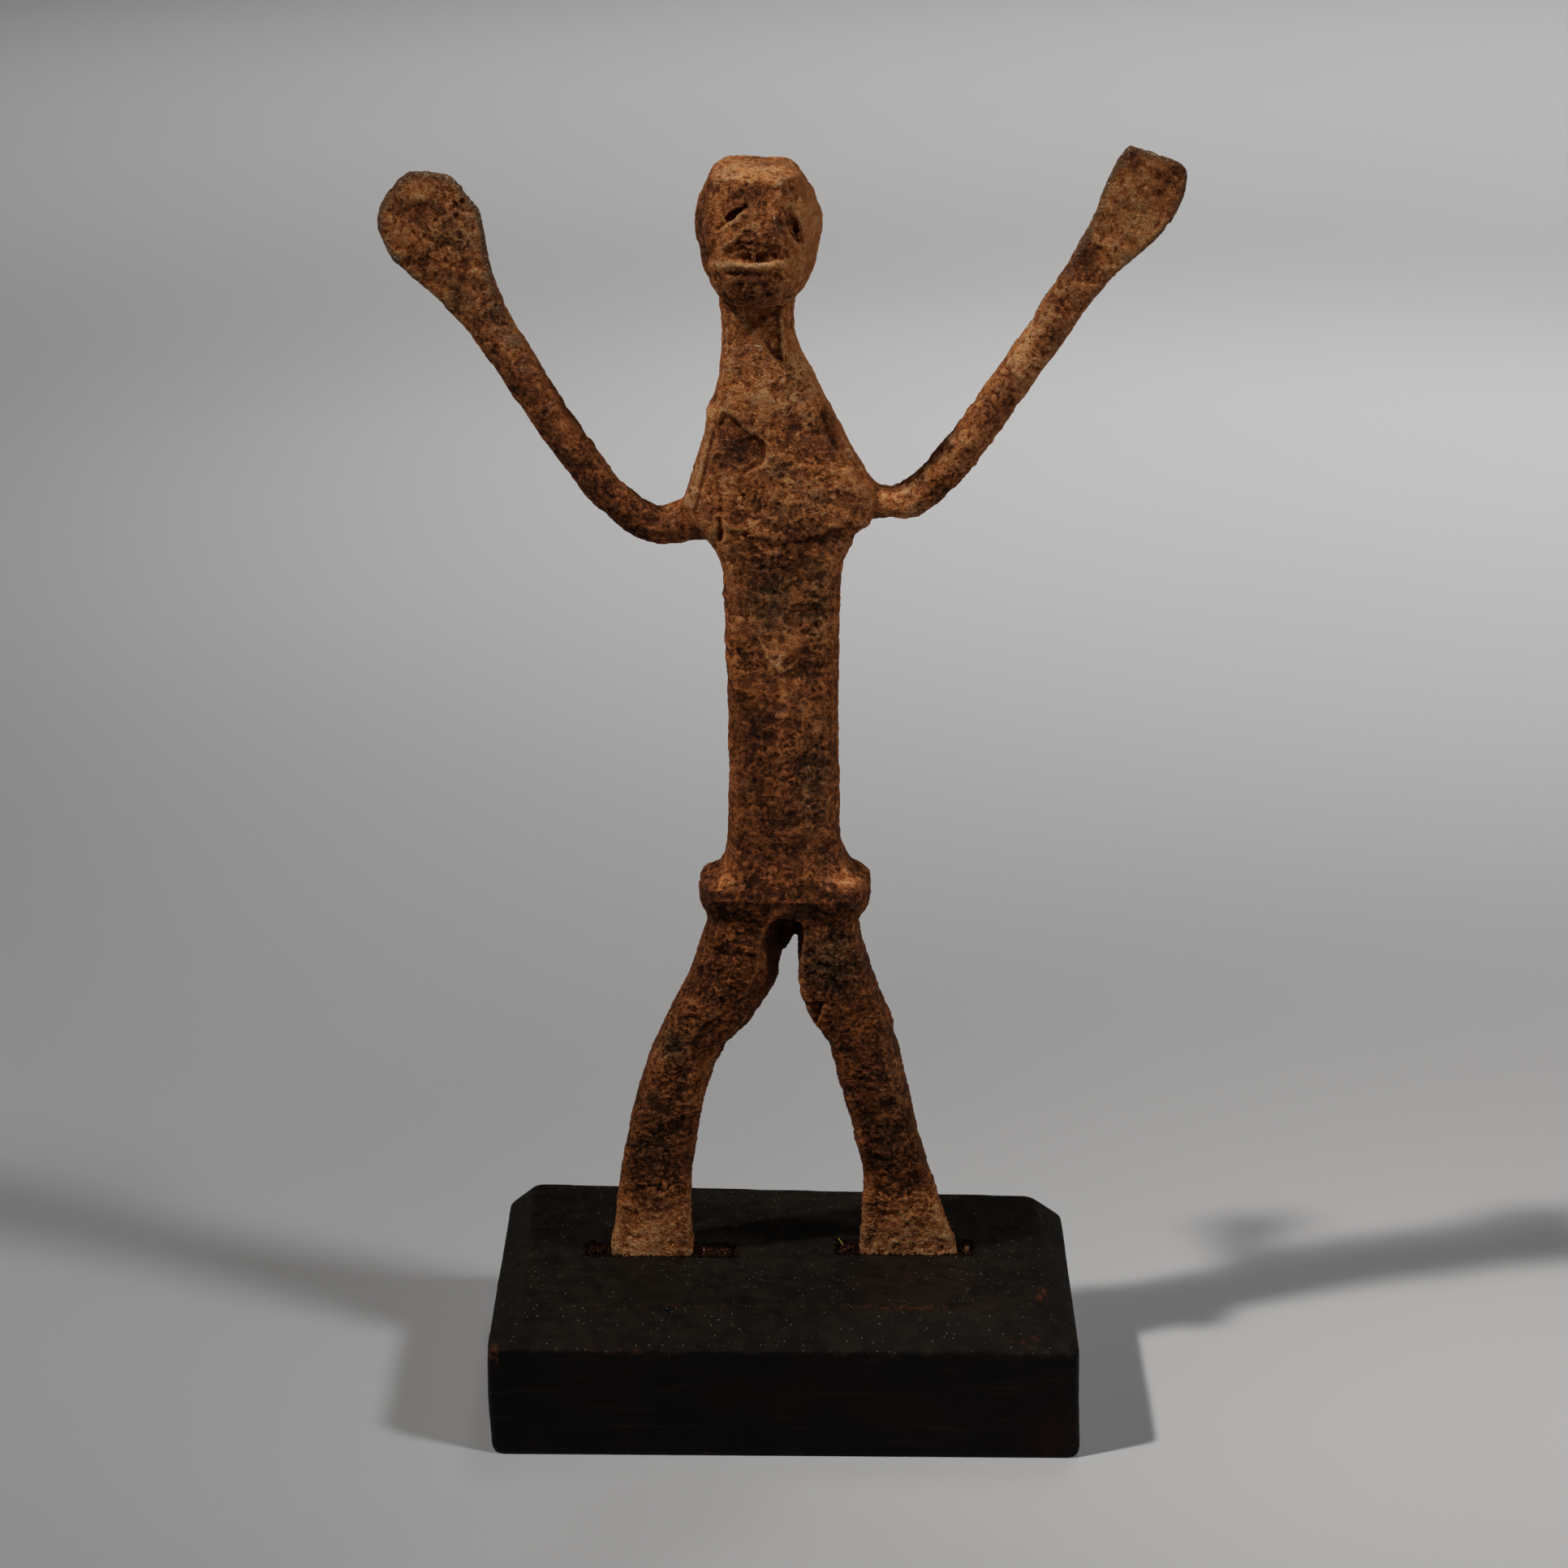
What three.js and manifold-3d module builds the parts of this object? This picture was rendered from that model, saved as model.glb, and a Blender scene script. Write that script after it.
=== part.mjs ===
// Small forged iron figure with raised arms, standing with both feet in the slots of a black wooden block.
// Millimetres, +Z up. The origin is on the block's underside, and the figure faces -Y.

import * as THREE from "three";
import * as BufferGeometryUtils from "three/addons/utils/BufferGeometryUtils.js";
import Module from "manifold-3d";

const wasm = await Module();
wasm.setup();

// Triangles lower than this are needles, and edges shorter than this may be closed up to remove one.
// Each pass takes one of the thinnest few in turn.

const NEEDLE_HEIGHT = 0.01;
const SHORT_EDGE = 0.12;
const MOST_PASSES = 400;
const NEEDLES_IN_TURN = 3;

// Driving dimensions of the block

const BLOCK_LEFT = -63.7;
const BLOCK_RIGHT = 64.0;
const BLOCK_FOOT_LEFT = -63.3;
const BLOCK_FOOT_RIGHT = 64.6;
const LEFT_SPLAY = 1.2;
const BLOCK_FRONT = -37.1;
const BLOCK_BACK_LEFT = 40.2;
const BLOCK_BACK_RIGHT = 35.2;
const BLOCK_HEIGHT = 29.9;
const BLOCK_EDGE_HEIGHT = 25.2;
const BLOCK_CORNER = 2.2;
const FRONT_BEVEL_LEFT = 12.3;
const FRONT_BEVEL_RIGHT = 10.2;
const LEFT_BEVEL = 7.2;
const RIGHT_BEVEL = 8.4;
const BACK_BEVEL = 0.3;
const SIDE_BEVEL_AT_BACK = 0.8;
const BLOCK_CORNER_CUT = 0.3;
const BLOCK_BULGE = 0.15;
const FOOT_EDGE_HEIGHT = 2;
const FOOT_EDGE_INSET = 0.4;

// The slots that hold the feet: left and right ends, front and back

const SLOT_DEPTH = 14;
const FOOT_CLEARANCE = 0.4;
const LEFT_SLOT = { left: -44.6, right: -11.4, front: 0.6, back: 7.9 };
const RIGHT_SLOT = { left: 11.8, right: 42.2, front: 2.4, back: 10.4 };
const SLOT_BOTTOM = BLOCK_HEIGHT - SLOT_DEPTH;
const FOOT_BOTTOM = SLOT_BOTTOM + FOOT_CLEARANCE;

// How far a cutting shape runs on past the face that it cuts

const CUT_OVERRUN = 2;

// How finely the forged members are divided between their ribs

const STEPS_PER_RIB = 2;

// A bevel is this much deeper than it is wide, and takes at most this share of the bar's depth

const BEVEL_DEPTH_RATIO = 1.4;
const BEVEL_DEPTH_LIMIT = 0.8;
const BACK_BEVEL_RATIO = 0.22;
const CORNER_FULLNESS = 0.36;
const FACE_CROWN = 0.05;

// The face's cuts

const LEFT_EYE = { x: -10.2, y: -11.5, z: 264.8, length: 7.0, height: 0.9, depth: 1.4, tilt: -40, turn: -20 };
const RIGHT_EYE = { x: 2.0, y: -9.4, z: 262.1, length: 7.6, height: 1.7, depth: 0.7, tilt: 64, turn: 40 };
const MOUTH = { x: -4.9, y: -12.3, z: 256.5, length: 8.2, height: 1.4, depth: 0.9, tilt: 0, turn: 0 };
const SLIT_SIDES = 16;
const SLIT_ROWS = 8;
const THROAT_FRONT = -8;

// The chisel split between the thighs runs from in front of the legs to a web at their back. Its right
// wall slants by this share of the left wall's slant.

const SPLIT_FRONT = -12;
const SPLIT_BACK = 8.4;
const SPLIT_RIGHT_SHARE = 0.25;

// Materials

const RUSTY_IRON = new THREE.MeshStandardMaterial({ color: 0x573525, roughness: 0.85, metalness: 0.25 });
const BLACK_WOOD = new THREE.MeshStandardMaterial({ color: 0x12110f, roughness: 0.55, metalness: 0 });

// A rib is one cross-section of a forged bar. It spans from its left edge point to its right edge point
// in the front view, and from front to back in y. Each front edge has a bevel of its own width.
// The turn moves the left edge back and the right edge forward.

function rib(leftX, leftZ, rightX, rightZ, front, back, bevelLeft, bevelRight, turn = 0) {
  return [leftX, leftZ, rightX, rightZ, front, back, bevelLeft, bevelRight, turn];
}

function level(z, left, right, front, back, bevelLeft, bevelRight) {
  return rib(left, z, right, z, front, back, bevelLeft, bevelRight);
}

// Values between two ribs follow a smooth curve through the ribs before and after them

function smoothBetween(before, start, end, after, share) {
  const slopeStart = (end - before) / 2;
  const slopeEnd = (after - start) / 2;
  const square = share * share;
  const cube = square * share;
  return (
    (2 * cube - 3 * square + 1) * start +
    (cube - 2 * square + share) * slopeStart +
    (3 * square - 2 * cube) * end +
    (cube - square) * slopeEnd
  );
}

function fillBetweenRibs(ribs) {
  const filled = [];
  for (let i = 0; i < ribs.length - 1; i += 1) {
    const before = ribs[Math.max(i - 1, 0)];
    const after = ribs[Math.min(i + 2, ribs.length - 1)];
    for (let step = 0; step < STEPS_PER_RIB; step += 1) {
      const share = step / STEPS_PER_RIB;
      filled.push(ribs[i].map((v, k) => smoothBetween(before[k], v, ribs[i + 1][k], after[k], share)));
    }
  }
  filled.push(ribs[ribs.length - 1]);
  return filled;
}

// The outline of one rib: four faces, each with a slight crown, and four bevelled corners

function ribOutline([leftX, leftZ, rightX, rightZ, front, back, bevelLeft, bevelRight, turn]) {
  const width = Math.hypot(rightX - leftX, rightZ - leftZ);
  const depth = back - front;
  const backBevel = Math.min(width, depth) * BACK_BEVEL_RATIO;
  const sideLimit = (depth - backBevel) * BEVEL_DEPTH_LIMIT;
  const leftDepth = Math.min(bevelLeft * BEVEL_DEPTH_RATIO, sideLimit);
  const rightDepth = Math.min(bevelRight * BEVEL_DEPTH_RATIO, sideLimit);
  const crown = depth * FACE_CROWN;
  const backEdge = depth - backBevel;
  const middle = (bevelLeft + width - bevelRight) / 2;
  const flat = [
    [0, leftDepth],
    [bevelLeft * CORNER_FULLNESS, leftDepth * CORNER_FULLNESS],
    [bevelLeft, 0],
    [middle, -crown],
    [width - bevelRight, 0],
    [width - bevelRight * CORNER_FULLNESS, rightDepth * CORNER_FULLNESS],
    [width, rightDepth],
    [width, (rightDepth + backEdge) / 2],
    [width, backEdge],
    [width - backBevel * CORNER_FULLNESS, depth - backBevel * CORNER_FULLNESS],
    [width - backBevel, depth],
    [width / 2, depth + crown],
    [backBevel, depth],
    [backBevel * CORNER_FULLNESS, depth - backBevel * CORNER_FULLNESS],
    [0, backEdge],
    [0, (leftDepth + backEdge) / 2],
  ];
  return flat.map(([u, v]) => {
    const share = u / width;
    return new THREE.Vector3(
      leftX + (rightX - leftX) * share,
      front + v + turn * (0.5 - share),
      leftZ + (rightZ - leftZ) * share,
    );
  });
}

// A closed skin over a row of outlines that all have the same number of points

function skin(outlines) {
  const count = outlines[0].length;
  const positions = outlines.flat().flatMap((p) => [p.x, p.y, p.z]);
  const indices = [];
  for (let row = 0; row < outlines.length - 1; row += 1) {
    for (let i = 0; i < count; i += 1) {
      const next = (i + 1) % count;
      const a = row * count + i;
      const b = row * count + next;
      indices.push(a, b, b + count, a, b + count, a + count);
    }
  }
  const last = (outlines.length - 1) * count;
  for (let i = 1; i < count - 1; i += 1) {
    indices.push(0, i + 1, i);
    indices.push(last, last + i, last + i + 1);
  }
  const geometry = new THREE.BufferGeometry();
  geometry.setAttribute("position", new THREE.Float32BufferAttribute(positions, 3));
  geometry.setIndex(indices);
  return geometry;
}

function forgedBar(ribs) {
  return solidOf(skin(fillBetweenRibs(ribs).map(ribOutline)));
}

function signedVolume(geometry) {
  const position = geometry.attributes.position;
  const index = geometry.index;
  const corner = [new THREE.Vector3(), new THREE.Vector3(), new THREE.Vector3()];
  let volume = 0;
  for (let i = 0; i < index.count; i += 3) {
    corner.forEach((p, k) => p.fromBufferAttribute(position, index.getX(i + k)));
    volume += corner[0].dot(corner[1].cross(corner[2])) / 6;
  }
  return volume;
}

// Turns a closed geometry into a solid that can be joined and cut, with its faces pointing out

function solidOf(geometry) {
  const plain = geometry.clone();
  plain.deleteAttribute("normal");
  plain.deleteAttribute("uv");
  const merged = BufferGeometryUtils.mergeVertices(plain);
  const triangles = Uint32Array.from(merged.index.array);
  if (signedVolume(merged) < 0) {
    for (let i = 0; i < triangles.length; i += 3) {
      [triangles[i + 1], triangles[i + 2]] = [triangles[i + 2], triangles[i + 1]];
    }
  }
  return new wasm.Manifold(
    new wasm.Mesh({ numProp: 3, vertProperties: merged.attributes.position.array, triVerts: triangles }),
  );
}

// Bars that cross at a flat angle leave needles, thinner than the iron's own roughness, where they join.
// A needle's short edge is closed up. One with no short edge is a flap that lies on its neighbour's edge,
// so the edge between the two is turned.

function shapeOfTriangle(positions, triangle) {
  const corners = triangle.map((i) => new THREE.Vector3().fromArray(positions, 3 * i));
  const lengths = corners.map((p, i) => p.distanceTo(corners[(i + 1) % 3]));
  const area = new THREE.Triangle(...corners).getArea();
  const longest = lengths.indexOf(Math.max(...lengths));
  const shortest = lengths.indexOf(Math.min(...lengths));
  return { lengths, longest, shortest, height: (2 * area) / lengths[longest] };
}

function neighboursOf(triangles, corner) {
  return new Set(triangles.filter((t) => t.includes(corner)).flat());
}

function closeEdge(triangles, keep, drop) {
  return triangles
    .map((t) => t.map((i) => (i === drop ? keep : i)))
    .filter(([a, b, c]) => a !== b && b !== c && c !== a);
}

function turnEdge(triangles, needle, start, end, tip) {
  const across = triangles.find((t) => t.some((v, i) => v === end && t[(i + 1) % 3] === start));
  const far = across.find((v) => v !== start && v !== end);
  const others = triangles.filter((t) => t !== needle && t !== across);
  return [...others, [start, far, tip], [far, end, tip]];
}

function withoutNeedles(positions, allTriangles) {
  let triangles = allTriangles;
  for (let pass = 0; pass < MOST_PASSES; pass += 1) {
    const thin = triangles
      .map((t) => ({ t, ...shapeOfTriangle(positions, t) }))
      .filter(({ height }) => height < NEEDLE_HEIGHT)
      .sort((a, b) => a.height - b.height);
    if (thin.length === 0) {
      break;
    }
    const { t, lengths, longest, shortest } = thin[pass % Math.min(thin.length, NEEDLES_IN_TURN)];
    const [a, b] = [t[shortest], t[(shortest + 1) % 3]];
    const aroundB = neighboursOf(triangles, b);
    const shared = [...neighboursOf(triangles, a)].filter((v) => v !== a && v !== b && aroundB.has(v));
    if (lengths[shortest] < SHORT_EDGE && shared.length === 2) {
      triangles = closeEdge(triangles, a, b);
    } else {
      triangles = turnEdge(triangles, t, t[longest], t[(longest + 1) % 3], t[(longest + 2) % 3]);
    }
  }
  return triangles;
}

function geometryOf(solid) {
  const mesh = solid.getMesh();
  const triangles = [];
  for (let i = 0; i < mesh.triVerts.length; i += 3) {
    triangles.push(Array.from(mesh.triVerts.slice(i, i + 3)));
  }
  const geometry = new THREE.BufferGeometry();
  geometry.setAttribute("position", new THREE.BufferAttribute(mesh.vertProperties, 3));
  geometry.setIndex(withoutNeedles(mesh.vertProperties, triangles).flat());
  return geometry;
}

function boxBetween(left, right, front, back, bottom, top) {
  const box = new THREE.BoxGeometry(right - left, back - front, top - bottom);
  box.translate((left + right) / 2, (front + back) / 2, (bottom + top) / 2);
  return box;
}

// Trunk: one flat bar from the crotch to the inside of the head, widest across the shoulders

function trunk() {
  return forgedBar([
    level(109.0, -16.8, 16.2, -4.4, 11.6, 3.0, 3.0),
    level(114.0, -16.8, 16.3, -5.2, 11.9, 3.0, 3.0),
    level(118.4, -15.4, 15.8, -5.0, 12.1, 3.0, 3.0),
    level(122.0, -13.8, 14.8, -4.3, 12.1, 2.6, 3.2),
    level(125.6, -12.5, 12.6, -3.8, 12.0, 2.0, 2.8),
    level(130.0, -12.3, 11.9, -3.6, 12.0, 1.8, 2.6),
    level(150.0, -12.1, 11.5, -3.5, 12.0, 1.8, 2.6),
    level(170.0, -12.4, 11.5, -3.6, 12.0, 1.8, 2.6),
    level(185.0, -12.9, 11.8, -3.9, 12.1, 2.0, 2.6),
    level(190.4, -13.7, 12.2, -4.1, 12.1, 2.2, 2.6),
    level(194.4, -16.0, 14.3, -4.3, 12.1, 2.6, 2.6),
    level(198.6, -19.6, 16.8, -4.4, 12.1, 3.0, 2.6),
    level(203.4, -21.1, 19.5, -4.3, 12.0, 3.2, 3.2),
    level(209.0, -19.3, 17.0, -4.0, 12.0, 2.8, 3.2),
    level(215.8, -17.2, 12.8, -3.6, 12.0, 2.6, 2.8),
    level(222.0, -16.2, 9.8, -3.2, 12.0, 2.4, 2.6),
    level(224.4, -14.9, 8.4, -3.0, 12.0, 2.4, 2.6),
    level(229.6, -13.8, 5.8, -2.6, 11.6, 2.4, 2.4),
    level(235.0, -13.2, 3.0, -2.0, 11.2, 2.4, 2.4),
    level(239.0, -13.0, 1.9, -1.4, 11.0, 2.4, 2.4),
    level(245.0, -13.5, 1.9, -1.0, 11.0, 2.4, 2.4),
    level(252.0, -12.6, 1.6, -1.0, 10.6, 2.4, 2.4),
  ]);
}

// Hip band: a short bar across the trunk whose ends stand out as two blunt lugs. Its upper front edge
// slopes up into the trunk and its lower one runs down into the thighs.

function hipBand() {
  return forgedBar([
    rib(-18.6, 117.6, -18.5, 114.4, 1.4, 8.2, 0.8, 0.8),
    rib(-17.8, 119.3, -17.8, 112.8, -3.0, 10.2, 1.4, 1.8),
    rib(-15.0, 120.8, -15.0, 111.2, -6.6, 11.8, 1.9, 4.4),
    rib(-10.5, 122.2, -10.5, 108.6, -7.0, 12.5, 2.8, 6.6),
    rib(-4.0, 122.6, -4.0, 108.0, -5.6, 12.6, 4.0, 6.6),
    rib(4.0, 122.6, 4.0, 108.0, -5.6, 12.6, 4.0, 6.6),
    rib(11.0, 122.2, 11.0, 108.4, -7.2, 12.5, 2.8, 6.6),
    rib(15.0, 121.4, 15.0, 111.0, -6.8, 11.8, 1.9, 4.4),
    rib(17.7, 120.2, 17.7, 112.6, -3.0, 10.2, 1.4, 1.8),
    rib(18.7, 118.6, 18.7, 114.8, 1.4, 8.2, 0.8, 0.8),
  ]);
}

// Legs: the lower bar split in two with a chisel and bowed apart, each ending in a flat foot in its slot

function leftLeg() {
  return forgedBar([
    level(117.0, -14.6, 2.4, -3.8, 11.0, 2.6, 1.0),
    level(111.0, -16.6, 2.8, -4.6, 11.2, 2.6, 1.0),
    level(105.6, -18.0, 2.8, -4.5, 11.4, 2.6, 2.0),
    level(101.6, -19.2, 1.8, -4.0, 11.4, 2.4, 4.0),
    level(98.6, -20.2, -0.9, -3.7, 11.3, 2.4, 6.0),
    level(95.0, -21.5, -1.2, -3.4, 11.2, 2.2, 6.8),
    level(90.5, -23.8, -3.6, -3.0, 11.0, 2.2, 7.4),
    level(84.7, -26.7, -7.4, -2.6, 10.6, 2.0, 8.0),
    level(79.0, -29.2, -12.7, -2.2, 10.2, 2.0, 6.4),
    level(73.2, -31.2, -15.8, -1.8, 9.8, 1.8, 4.4),
    level(65.4, -33.4, -18.1, -1.2, 9.4, 1.8, 3.0),
    level(55.0, -35.7, -20.1, -0.4, 8.8, 1.6, 2.2),
    level(45.0, -37.3, -21.1, 0.4, 8.2, 1.4, 1.6),
    level(36.0, -38.4, -21.0, 0.9, 7.7, 1.0, 1.2),
    level(29.0, -39.2, -20.6, 1.0, 7.5, 0.8, 1.0),
    level(FOOT_BOTTOM, -39.6, -20.5, 1.0, 7.5, 0.8, 1.0),
  ]);
}

function rightLeg() {
  return forgedBar([
    level(117.0, 0.4, 14.0, -3.8, 11.0, 1.0, 2.6),
    level(111.0, 2.0, 15.8, -4.6, 11.2, 0.8, 2.6),
    level(105.6, 2.2, 16.6, -4.5, 11.6, 0.8, 2.6),
    level(100.0, 2.7, 17.9, -4.0, 11.8, 1.0, 2.6),
    level(92.4, 3.8, 20.6, -3.3, 11.8, 1.2, 2.6),
    level(86.5, 6.2, 22.8, -2.6, 11.8, 1.8, 2.6),
    level(80.9, 9.6, 24.5, -2.2, 11.6, 1.8, 2.6),
    level(73.2, 11.6, 26.5, -1.6, 11.4, 1.8, 2.6),
    level(65.4, 13.7, 28.1, -0.9, 11.1, 1.8, 2.4),
    level(57.6, 15.6, 29.7, -0.1, 10.8, 1.6, 2.2),
    level(49.7, 17.2, 32.1, 0.9, 10.5, 1.4, 2.0),
    level(42.5, 17.4, 34.3, 1.8, 10.2, 1.2, 1.6),
    level(36.0, 17.0, 36.6, 2.4, 10.1, 1.0, 1.2),
    level(29.0, 16.6, 38.9, 2.8, 10.0, 0.8, 1.0),
    level(FOOT_BOTTOM, 16.4, 39.4, 2.8, 10.0, 0.8, 1.0),
  ]);
}

// The split starts below the hips as an arched notch driven in from the front. Its left wall slants, so
// the notch narrows towards the back, where a thin web still joins the thighs at its top.

function splitCut() {
  const notch = ([z, left, right, slant]) => [
    new THREE.Vector3(left, SPLIT_FRONT, z),
    new THREE.Vector3(right, SPLIT_FRONT, z),
    new THREE.Vector3(right - slant * SPLIT_RIGHT_SHARE, SPLIT_BACK, z),
    new THREE.Vector3(left + slant, SPLIT_BACK, z),
  ];
  const rows = [
    [92.0, -9.4, 3.6, 8.0],
    [96.0, -8.4, 3.8, 8.0],
    [100.0, -7.4, 4.0, 6.8],
    [105.0, -6.6, 4.6, 5.6],
    [109.4, -6.2, 4.8, 5.2],
    [111.2, -5.2, 3.8, 4.4],
    [112.2, -3.0, 2.2, 3.0],
  ];
  return solidOf(skin(rows.map(notch)));
}

// Arms: thin bars that dip out of the chest, rise outwards and end in flattened hands

function leftArm() {
  return forgedBar([
    rib(-11.0, 194.8, -11.0, 203.2, -0.6, 9.0, 2.0, 2.0),
    rib(-19.5, 193.9, -20.5, 202.6, -0.6, 9.0, 2.2, 2.2),
    rib(-25.6, 192.9, -26.0, 200.9, 0.0, 8.6, 2.4, 2.4),
    rib(-31.4, 194.3, -29.9, 202.6, 0.2, 8.4, 2.4, 2.4),
    rib(-36.6, 198.2, -33.5, 205.6, 0.4, 8.4, 2.4, 2.4),
    rib(-42.4, 203.8, -37.7, 210.2, 0.6, 8.4, 2.2, 2.2),
    rib(-50.8, 215.7, -44.8, 220.9, 0.8, 8.2, 2.2, 2.2),
    rib(-59.1, 228.1, -52.4, 234.1, 1.2, 7.8, 2.0, 2.0, 0.6),
    rib(-65.9, 237.8, -57.6, 243.0, 2.0, 7.2, 1.6, 1.6, 1.4),
    rib(-74.0, 246.2, -60.2, 249.9, 2.8, 6.6, 1.0, 1.0, 2.6),
    rib(-81.2, 252.8, -61.3, 256.1, 3.2, 6.4, 0.8, 0.8, 3.6),
    rib(-84.2, 259.2, -62.0, 261.4, 3.2, 6.2, 0.7, 0.7, 4.0),
    rib(-83.2, 264.4, -63.8, 265.1, 3.2, 6.2, 0.7, 0.7, 3.8),
    rib(-80.3, 268.4, -66.5, 268.5, 3.2, 6.0, 0.7, 0.7, 3.0),
    rib(-77.2, 270.9, -69.0, 270.7, 3.4, 5.8, 0.7, 0.7, 2.0),
  ]);
}

function rightArm() {
  return forgedBar([
    rib(8.0, 205.6, 8.0, 200.2, -0.6, 8.8, 2.0, 2.0),
    rib(18.4, 205.8, 17.6, 199.7, -0.6, 8.8, 2.0, 2.0),
    rib(22.4, 205.0, 23.0, 198.9, -0.4, 8.6, 2.0, 2.0),
    rib(25.7, 206.9, 28.0, 199.1, 0.0, 8.4, 2.2, 2.2),
    rib(29.2, 210.2, 33.4, 203.1, 0.2, 8.4, 2.2, 2.2),
    rib(33.2, 215.0, 38.8, 209.1, 0.4, 8.4, 2.2, 2.2),
    rib(38.4, 222.2, 45.0, 217.8, 0.6, 8.4, 2.2, 2.2),
    rib(45.5, 232.6, 52.0, 228.2, 0.8, 8.2, 2.2, 2.2),
    rib(51.3, 241.6, 58.4, 237.1, 1.2, 8.0, 2.0, 2.0),
    rib(55.9, 249.2, 63.5, 244.8, 2.0, 7.4, 1.6, 1.6, -0.4),
    rib(59.5, 255.0, 69.8, 251.7, 2.8, 6.8, 1.0, 1.0, -1.0),
    rib(62.6, 261.4, 77.4, 258.3, 3.2, 6.4, 0.8, 0.8, -1.8),
    rib(64.8, 267.5, 81.4, 264.8, 3.2, 6.2, 0.7, 0.7, -2.2),
    rib(66.7, 272.2, 82.4, 269.6, 3.2, 6.2, 0.7, 0.7, -2.2),
    rib(68.7, 275.4, 82.0, 272.2, 3.2, 6.0, 0.7, 0.7, -1.8),
    rib(70.4, 276.8, 80.6, 273.5, 3.4, 5.8, 0.7, 0.7, -1.4),
  ]);
}

// Head: a blunt block with broad facets. Its top slopes up from the brow, and its right side is cut back.

function headBlock() {
  return forgedBar([
    level(245.2, -11.2, 0.4, -5.4, 9.0, 2.0, 2.4),
    level(246.8, -13.2, 2.4, -8.0, 10.6, 3.4, 3.6),
    level(249.8, -15.2, 4.9, -9.8, 11.8, 4.6, 5.6),
    level(253.2, -16.8, 6.4, -11.4, 12.6, 5.4, 6.6),
    level(256.6, -17.6, 7.0, -12.0, 12.9, 6.0, 7.2),
    level(260.2, -18.3, 7.5, -12.2, 13.0, 6.4, 7.6),
    level(263.4, -18.3, 7.2, -11.6, 13.0, 6.2, 7.4),
    level(266.4, -17.6, 6.2, -10.9, 12.6, 5.4, 6.8),
    level(269.4, -16.2, 4.7, -10.1, 12.0, 4.4, 5.8),
    level(271.4, -15.3, 3.5, -9.5, 11.4, 3.6, 4.6),
    level(271.9, -15.0, 3.2, -8.3, 11.1, 3.2, 4.0),
    level(272.8, -14.3, 2.4, -5.6, 10.7, 2.6, 3.2),
    level(273.8, -12.8, 1.2, -2.8, 9.6, 2.0, 2.2),
  ]);
}

// Nose: a low wedge that widens from the brow down to its tip above the mouth

function nose() {
  return forgedBar([
    level(268.6, -5.6, -1.0, -10.6, -4.0, 1.6, 1.0),
    level(264.0, -6.6, -0.5, -12.3, -4.0, 2.2, 1.0),
    level(261.8, -6.2, -0.1, -13.1, -4.0, 2.4, 1.2),
    level(260.2, -5.0, 0.3, -13.4, -4.0, 2.2, 1.2),
    level(258.8, -3.8, 0.3, -13.1, -4.0, 1.6, 1.2),
  ]);
}

// Eyes and mouth are cut with a lens-shaped chisel that leaves pointed ends

function slitCut({ x, y, z, length, height, depth, tilt, turn }) {
  const lens = new THREE.SphereGeometry(1, SLIT_SIDES, SLIT_ROWS);
  lens.rotateZ(Math.PI / 2);
  lens.scale(length / 2, depth, height / 2);
  lens.rotateY(THREE.MathUtils.degToRad(tilt));
  lens.rotateZ(THREE.MathUtils.degToRad(turn));
  lens.translate(x, y, z);
  return solidOf(lens);
}

// The throat has a three-sided hollow under the chin, deepest on its right

function throatCut() {
  return forgedBar([
    level(233.6, -1.6, -0.6, THROAT_FRONT, -2.0, 0.2, 0.2),
    level(237.4, -4.6, -0.4, THROAT_FRONT, -1.2, 0.2, 0.2),
    level(242.0, -8.4, -0.4, THROAT_FRONT, -0.6, 0.2, 0.2),
    level(246.4, -9.4, -0.6, THROAT_FRONT, -0.2, 0.2, 0.2),
  ]);
}

function head() {
  return headBlock()
    .add(nose())
    .subtract(slitCut(LEFT_EYE))
    .subtract(slitCut(RIGHT_EYE))
    .subtract(slitCut(MOUTH));
}

function figureSolid() {
  const lowerBody = hipBand().add(leftLeg()).add(rightLeg());
  const body = trunk().subtract(throatCut()).add(lowerBody).subtract(splitCut());
  return body.add(leftArm()).add(rightArm()).add(head());
}

// The block's outline at one height, with its four upright edges slightly rounded. Its right side is
// square to the front, its left side splays out a little towards the back, and its back runs askew.

function blockOutline(z, left, right, inset) {
  const corner = BLOCK_CORNER;
  const cut = corner * BLOCK_CORNER_CUT;
  const front = BLOCK_FRONT + inset;
  const leftAt = (y) => left + inset - LEFT_SPLAY * ((y - BLOCK_FRONT) / (BLOCK_BACK_LEFT - BLOCK_FRONT));
  const rightEnd = right - inset;
  const back = (x) => {
    const share = (x - left) / (right - left);
    return BLOCK_BACK_LEFT + (BLOCK_BACK_RIGHT - BLOCK_BACK_LEFT) * share - inset;
  };
  const backLeft = leftAt(BLOCK_BACK_LEFT);
  return [
    [leftAt(front), front + corner],
    [leftAt(front) + cut, front + cut],
    [leftAt(front) + corner, front],
    [rightEnd - corner, front],
    [rightEnd - cut, front + cut],
    [rightEnd, front + corner],
    [rightEnd, back(rightEnd) - corner],
    [rightEnd - cut, back(rightEnd) - cut],
    [rightEnd - corner, back(rightEnd - corner)],
    [backLeft + corner, back(backLeft + corner)],
    [backLeft + cut, back(backLeft) - cut],
    [backLeft, back(backLeft) - corner],
  ].map(([x, y]) => new THREE.Vector3(x, y, z));
}

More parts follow.
